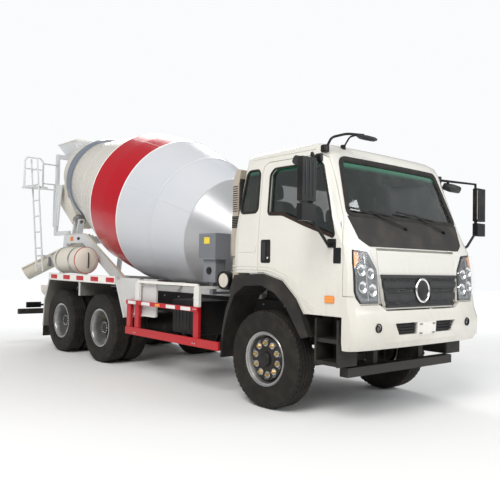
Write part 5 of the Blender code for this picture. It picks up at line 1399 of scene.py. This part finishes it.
def make_mixer_details():
    # the air intake's louvres, bellows and strip, and the air filter's end
    slats = joined(block((-0.694, -1.004, z), (-0.610, -0.990, z + 0.012), 0.003)
                   for z in np.arange(2.14, 2.45, 0.026))
    slats = slats + joined(block((-0.704, -0.985, z), (-0.690, -0.775, z + 0.012), 0.003)
                           for z in np.arange(2.14, 2.48, 0.026))
    piece("intake_slats", slats, "chassis", "dark_plastic", 30)
    bellows = joined(block((-0.708, -1.007, z), (-0.594, -0.754, z + 0.016), 0.007)
                     for z in np.arange(1.95, 2.09, 0.020))
    piece("intake_bellows", bellows, "chassis", "seal_rubber", 40)
    piece("intake_strip", block((-0.598, -0.99, 1.64), (-0.572, -0.80, 2.52), 0.006), "chassis",
          "seal_rubber", 40)
    cap = revolved(((0.0, 0.085), (0.006, 0.083), (0.010, 0.06), (0.010, 0.0)), (-0.86, -0.982, 1.33),
                   (0, -1, 0), 40)
    piece("air_filter_cap", cap, "chassis", "cream_paint", 40)
    shell = ring_solid(((-0.004, 0.086), (0.008, 0.090), (0.008, 0.111), (-0.08, 0.1125), (-0.08, 0.110),
                        (-0.004, 0.109)), (-0.86, -0.982, 1.33), (0, -1, 0), 48)
    piece("air_filter_shell", shell, "chassis", "black_plastic", 40)
    # the cooler's fins, label and sight glass
    fins = joined(block((-1.305 + i * 0.0182, -1.024, 1.600), (-1.297 + i * 0.0182, -1.018, 1.880), 0.001)
                  for i in range(18))
    piece("cooler_fins", fins, "chassis", "grey_paint", 30)
    piece("cooler_label", block((-1.20, -1.0265, 1.77), (-1.09, -1.0235, 1.85), 0.001), "chassis",
          "yellow_paint", 30)
    sight = revolved(((0.0, 0.045), (0.012, 0.044), (0.016, 0.030), (0.012, 0.0)), (-1.14, -0.982, 1.44),
                     (0, -1, 0),
                     32)
    piece("cooler_sight", sight, "chassis", "black_plastic", 40)
    # the water tank's bands, ring and gauge
    centre = np.array((-5.42, -0.90, 1.545))
    bands = joined(ring_solid(((x, 0.2255), (x + 0.05, 0.2255), (x + 0.05, 0.2295), (x, 0.2295)), centre,
                              (1, 0, 0),
                              64) for x in (0.14, 0.62))
    piece("water_tank_bands", bands, "chassis", "bare_steel", 40)
    ring = ring_solid(((0.86, 0.222), (0.872, 0.2275), (0.884, 0.222), (0.872, 0.215)), centre, (1, 0, 0), 64)
    # The red ring uses the lens look and glows faintly: a painted glow, since it is no lamp.
    piece("water_tank_ring", ring, "chassis", "red_lens", 60)
    gauge = tube(((-4.486, -0.90, 1.42), (-4.470, -0.90, 1.44), (-4.470, -0.90, 1.65),
                  (-4.486, -0.90, 1.67)), 0.009,
                 0.02)
    piece("water_gauge", gauge, "chassis", "black_plastic", 60)
    # pedestal: cream edges, dark ovals, labels and bolts
    for side, sign in SIDES:
        edge = [(x, sign * 0.60, z) for x, z in ((-3.66, 1.215), (-5.195, 2.028), (-6.02, 2.028))]
        piece(f"pedestal_edge_{side}", swept(rounded_path(edge, 0.06, 4), ((-0.026, -0.003), (0.026, -0.003),
              (0.026, 0.004), (-0.026, 0.004))), "chassis", "cream_paint", 30)
        turn = np.arange(32) * math.tau / 32
        oval = np.stack((-5.42 + 0.055 * np.cos(turn), 1.94 + 0.028 * np.sin(turn)), axis=1)
        piece(f"pedestal_oval_{side}", slab(oval, 1, sign * 0.619, sign * 0.6225), "chassis",
              "black_plastic", 30)
        label = side_block(sign, (-5.75, -5.63), (0.6195, 0.6225), (1.90, 1.98), 0.001)
        piece(f"pedestal_label_{side}", label, "chassis", "orange_paint", 30)
        bolts = joined(placed(hexagon_nut(0.014, 0.012), (x, sign * 0.62, 1.235), (0, sign, 0), (1, 0, 0))
                       for x in (-3.9, -4.05, -5.3, -5.5, -5.7, -5.9))
        piece(f"pedestal_bolts_{side}", bolts, "chassis", "bare_steel", 30)
    # the hopper's rim and the control box
    low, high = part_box("hopper")
    top = high.z - 0.010
    x0, x1 = low.x - FRONT_X, high.x - FRONT_X
    loop = ((x0 + 0.006, -0.455, top), (x1 - 0.006, -0.455, top), (x1 - 0.006, 0.455, top),
            (x0 + 0.006, 0.455, top))
    ring = swept(dense(loop, 0.1), circle(0.009, 8), closed=True)
    piece("hopper_rim", ring, "chassis", "cream_paint", 60)
    piece("control_box", block((-6.66, -0.660, 1.42), (-6.585, -0.60, 1.62), 0.010), "chassis",
          "grey_paint", 40)


# Stage


BACKDROP = (0.96, 0.97, 0.98)


def floor_look():
    """A pale floor that gives way to the backdrop's own brightness with the distance from the middle."""
    look = Look("studio_floor", {"Emission Strength": 1.0})
    grain = look.noise(3.0, 4.0)
    away = (look.x * look.x + look.y * look.y).rise(22.0, 110.0)
    tone = look.mix(grain * 0.15, (0.88, 0.88, 0.87), (0.845, 0.845, 0.835))
    look.set("Base Color", look.mix(away, tone, (0.0, 0.0, 0.0)))
    look.set("Emission Color", look.mix(away, (0.0, 0.0, 0.0), BACKDROP))
    look.set("Roughness", grain * 0.05 + 0.75)
    return look


def sun_panel(name, place, target, size, power, colour):
    light = bpy.data.lights.new(name, "AREA")
    light.shape = "RECTANGLE"
    light.size, light.size_y = size
    light.energy = power
    light.color = colour
    lamp = bpy.data.objects.new(name, light)
    bpy.context.scene.collection.objects.link(lamp)
    lamp.location = place
    lamp.rotation_euler = (Vector(target) - Vector(place)).to_track_quat("-Z", "Y").to_euler()


def make_stage(sizes):
    half = sizes.floor_size / 2
    mesh = bpy.data.meshes.new("studio_floor")
    mesh.from_pydata([(-half, -half, 0), (half, -half, 0), (half, half, 0), (-half, half, 0)], [],
                     [(0, 1, 2, 3)])
    mesh.materials.append(floor_look().material)
    floor = bpy.data.objects.new("studio_floor", mesh)
    bpy.context.scene.collection.objects.link(floor)
    world = bpy.data.worlds.new("studio")
    world.use_nodes = True
    nodes, links = world.node_tree.nodes, world.node_tree.links
    sky = nodes["Background"]
    sky.inputs["Color"].default_value = (0.97, 0.985, 1.0, 1.0)
    sky.inputs["Strength"].default_value = 0.42
    seen = nodes.new("ShaderNodeBackground")
    seen.inputs["Color"].default_value = (*BACKDROP, 1.0)
    ray = nodes.new("ShaderNodeLightPath")
    blend = nodes.new("ShaderNodeMixShader")
    links.new(ray.outputs["Is Camera Ray"], blend.inputs[0])
    links.new(sky.outputs[0], blend.inputs[1])
    links.new(seen.outputs[0], blend.inputs[2])
    links.new(blend.outputs[0], nodes["World Output"].inputs["Surface"])
    bpy.context.scene.world = world
    bpy.context.scene.view_settings.view_transform = "Standard"
    sun_panel("key", (9.0, -13.0, 13.0), (0.0, 0.0, 1.5), (9.0, 9.0), 2700.0, (1.0, 0.985, 0.96))
    sun_panel("fill", (14.0, 6.0, 7.0), (1.0, 0.0, 1.5), (8.0, 6.0), 900.0, (0.95, 0.97, 1.0))
    sun_panel("back", (-12.0, 8.0, 11.0), (0.0, 0.0, 2.0), (8.0, 6.0), 1100.0, (1.0, 1.0, 1.0))
    make_camera()


def make_camera():
    """A camera low in front of the truck's right corner: yaw about Z, then pitch, then roll."""
    yaw, pitch, roll = (math.radians(a) for a in (141.292, 1.769, 1.22))
    ahead = Vector((math.cos(yaw) * math.cos(pitch), math.sin(yaw) * math.cos(pitch), math.sin(pitch)))
    right = Vector((math.sin(yaw), -math.cos(yaw), 0.0))
    up = right.cross(ahead)
    turned_right = right * math.cos(roll) + up * math.sin(roll)
    turned_up = up * math.cos(roll) - right * math.sin(roll)
    camera = bpy.data.cameras.new("camera")
    camera.sensor_width = 36.0
    camera.lens = 44.074
    camera.shift_x = 0.0767
    camera.shift_y = -0.0077
    view = bpy.data.objects.new("camera", camera)
    basis = Matrix((turned_right, turned_up, -ahead)).transposed().to_4x4()
    view.matrix_world = Matrix.Translation((7.772, -5.675, 1.51)) @ basis
    bpy.context.scene.collection.objects.link(view)
    bpy.context.scene.camera = view


# Operators


class MIXER_OT_stage(Operator):
    """Make the floor, the lights and the camera"""
    bl_idname = "mixer.stage"
    bl_label = "Stage"

    def execute(self, context):
        make_stage(context.scene.mixer_sizes)
        return {"FINISHED"}


class MIXER_OT_finishes(Operator):
    """Make every finish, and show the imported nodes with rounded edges"""
    bl_idname = "mixer.finishes"
    bl_label = "Finishes"

    def execute(self, context):
        LOOKS.update(all_looks(context.scene.mixer_colours))
        show_cad_nodes()
        return {"FINISHED"}


class MIXER_OT_front_wheels(Operator):
    """Make the steered wheels' tyres, rims, nuts and caps"""
    bl_idname = "mixer.front_wheels"
    bl_label = "Front wheels"

    def execute(self, context):
        make_front_wheels(context.scene.mixer_sizes)
        return {"FINISHED"}


class MIXER_OT_twin_wheels(Operator):
    """Make the driven axles' twin tyres, deep rims and hubs"""
    bl_idname = "mixer.twin_wheels"
    bl_label = "Twin wheels"

    def execute(self, context):
        make_twin_wheels(context.scene.mixer_sizes)
        return {"FINISHED"}


class MIXER_OT_drum(Operator):
    """Make the drum with its weld beads, seams and flange"""
    bl_idname = "mixer.drum"
    bl_label = "Drum"

    def execute(self, context):
        make_drum(context.scene.mixer_sizes)
        return {"FINISHED"}


class MIXER_OT_cab_trim(Operator):
    """Make the cab's seals, creases, handles and mirror faces"""
    bl_idname = "mixer.cab_trim"
    bl_label = "Cab trim"

    def execute(self, context):
        make_cab_trim(context.scene.mixer_sizes)
        return {"FINISHED"}


class MIXER_OT_cab_face(Operator):
    """Make the grille, lamps, wipers, cowl and bumper fittings"""
    bl_idname = "mixer.cab_face"
    bl_label = "Cab face"

    def execute(self, context):
        make_cab_face()
        return {"FINISHED"}


class MIXER_OT_seats(Operator):
    """Make the padded seats"""
    bl_idname = "mixer.seats"
    bl_label = "Seats"

    def execute(self, context):
        make_seats()
        return {"FINISHED"}


class MIXER_OT_fittings(Operator):
    """Make the side guards', mudguards', frame's and mixer's small parts"""
    bl_idname = "mixer.fittings"
    bl_label = "Fittings"

    def execute(self, context):
        make_side_guard_details()
        make_mudguard_details()
        make_frame_details()
        make_mixer_details()
        return {"FINISHED"}


STEPS = (MIXER_OT_stage, MIXER_OT_finishes, MIXER_OT_front_wheels, MIXER_OT_twin_wheels, MIXER_OT_drum,
         MIXER_OT_cab_trim, MIXER_OT_cab_face, MIXER_OT_seats, MIXER_OT_fittings)


class MIXER_PT_panel(Panel):
    """The mixer truck's sizes, colours and steps"""
    bl_idname = "MIXER_PT_panel"
    bl_label = "Concrete Mixer Truck"
    bl_space_type = "VIEW_3D"
    bl_region_type = "UI"
    bl_category = "Mixer"

    def draw(self, context):
        for group in (context.scene.mixer_colours, context.scene.mixer_sizes):
            for name in group.bl_rna.properties.keys()[2:]:
                self.layout.prop(group, name)
        for step in STEPS:
            self.layout.operator(step.bl_idname)


CLASSES = (MixerColours, MixerSizes, *STEPS, MIXER_PT_panel)


def register():
    for made in CLASSES:
        bpy.utils.register_class(made)
    bpy.types.Scene.mixer_colours = PointerProperty(type=MixerColours)
    bpy.types.Scene.mixer_sizes = PointerProperty(type=MixerSizes)


def unregister():
    del bpy.types.Scene.mixer_sizes
    del bpy.types.Scene.mixer_colours
    for made in reversed(CLASSES):
        bpy.utils.unregister_class(made)


def main():
    register()
    for step in STEPS:
        group, name = step.bl_idname.split(".")
        getattr(getattr(bpy.ops, group), name)()
    bpy.context.view_layer.update()


if __name__ == "__main__":
    main()
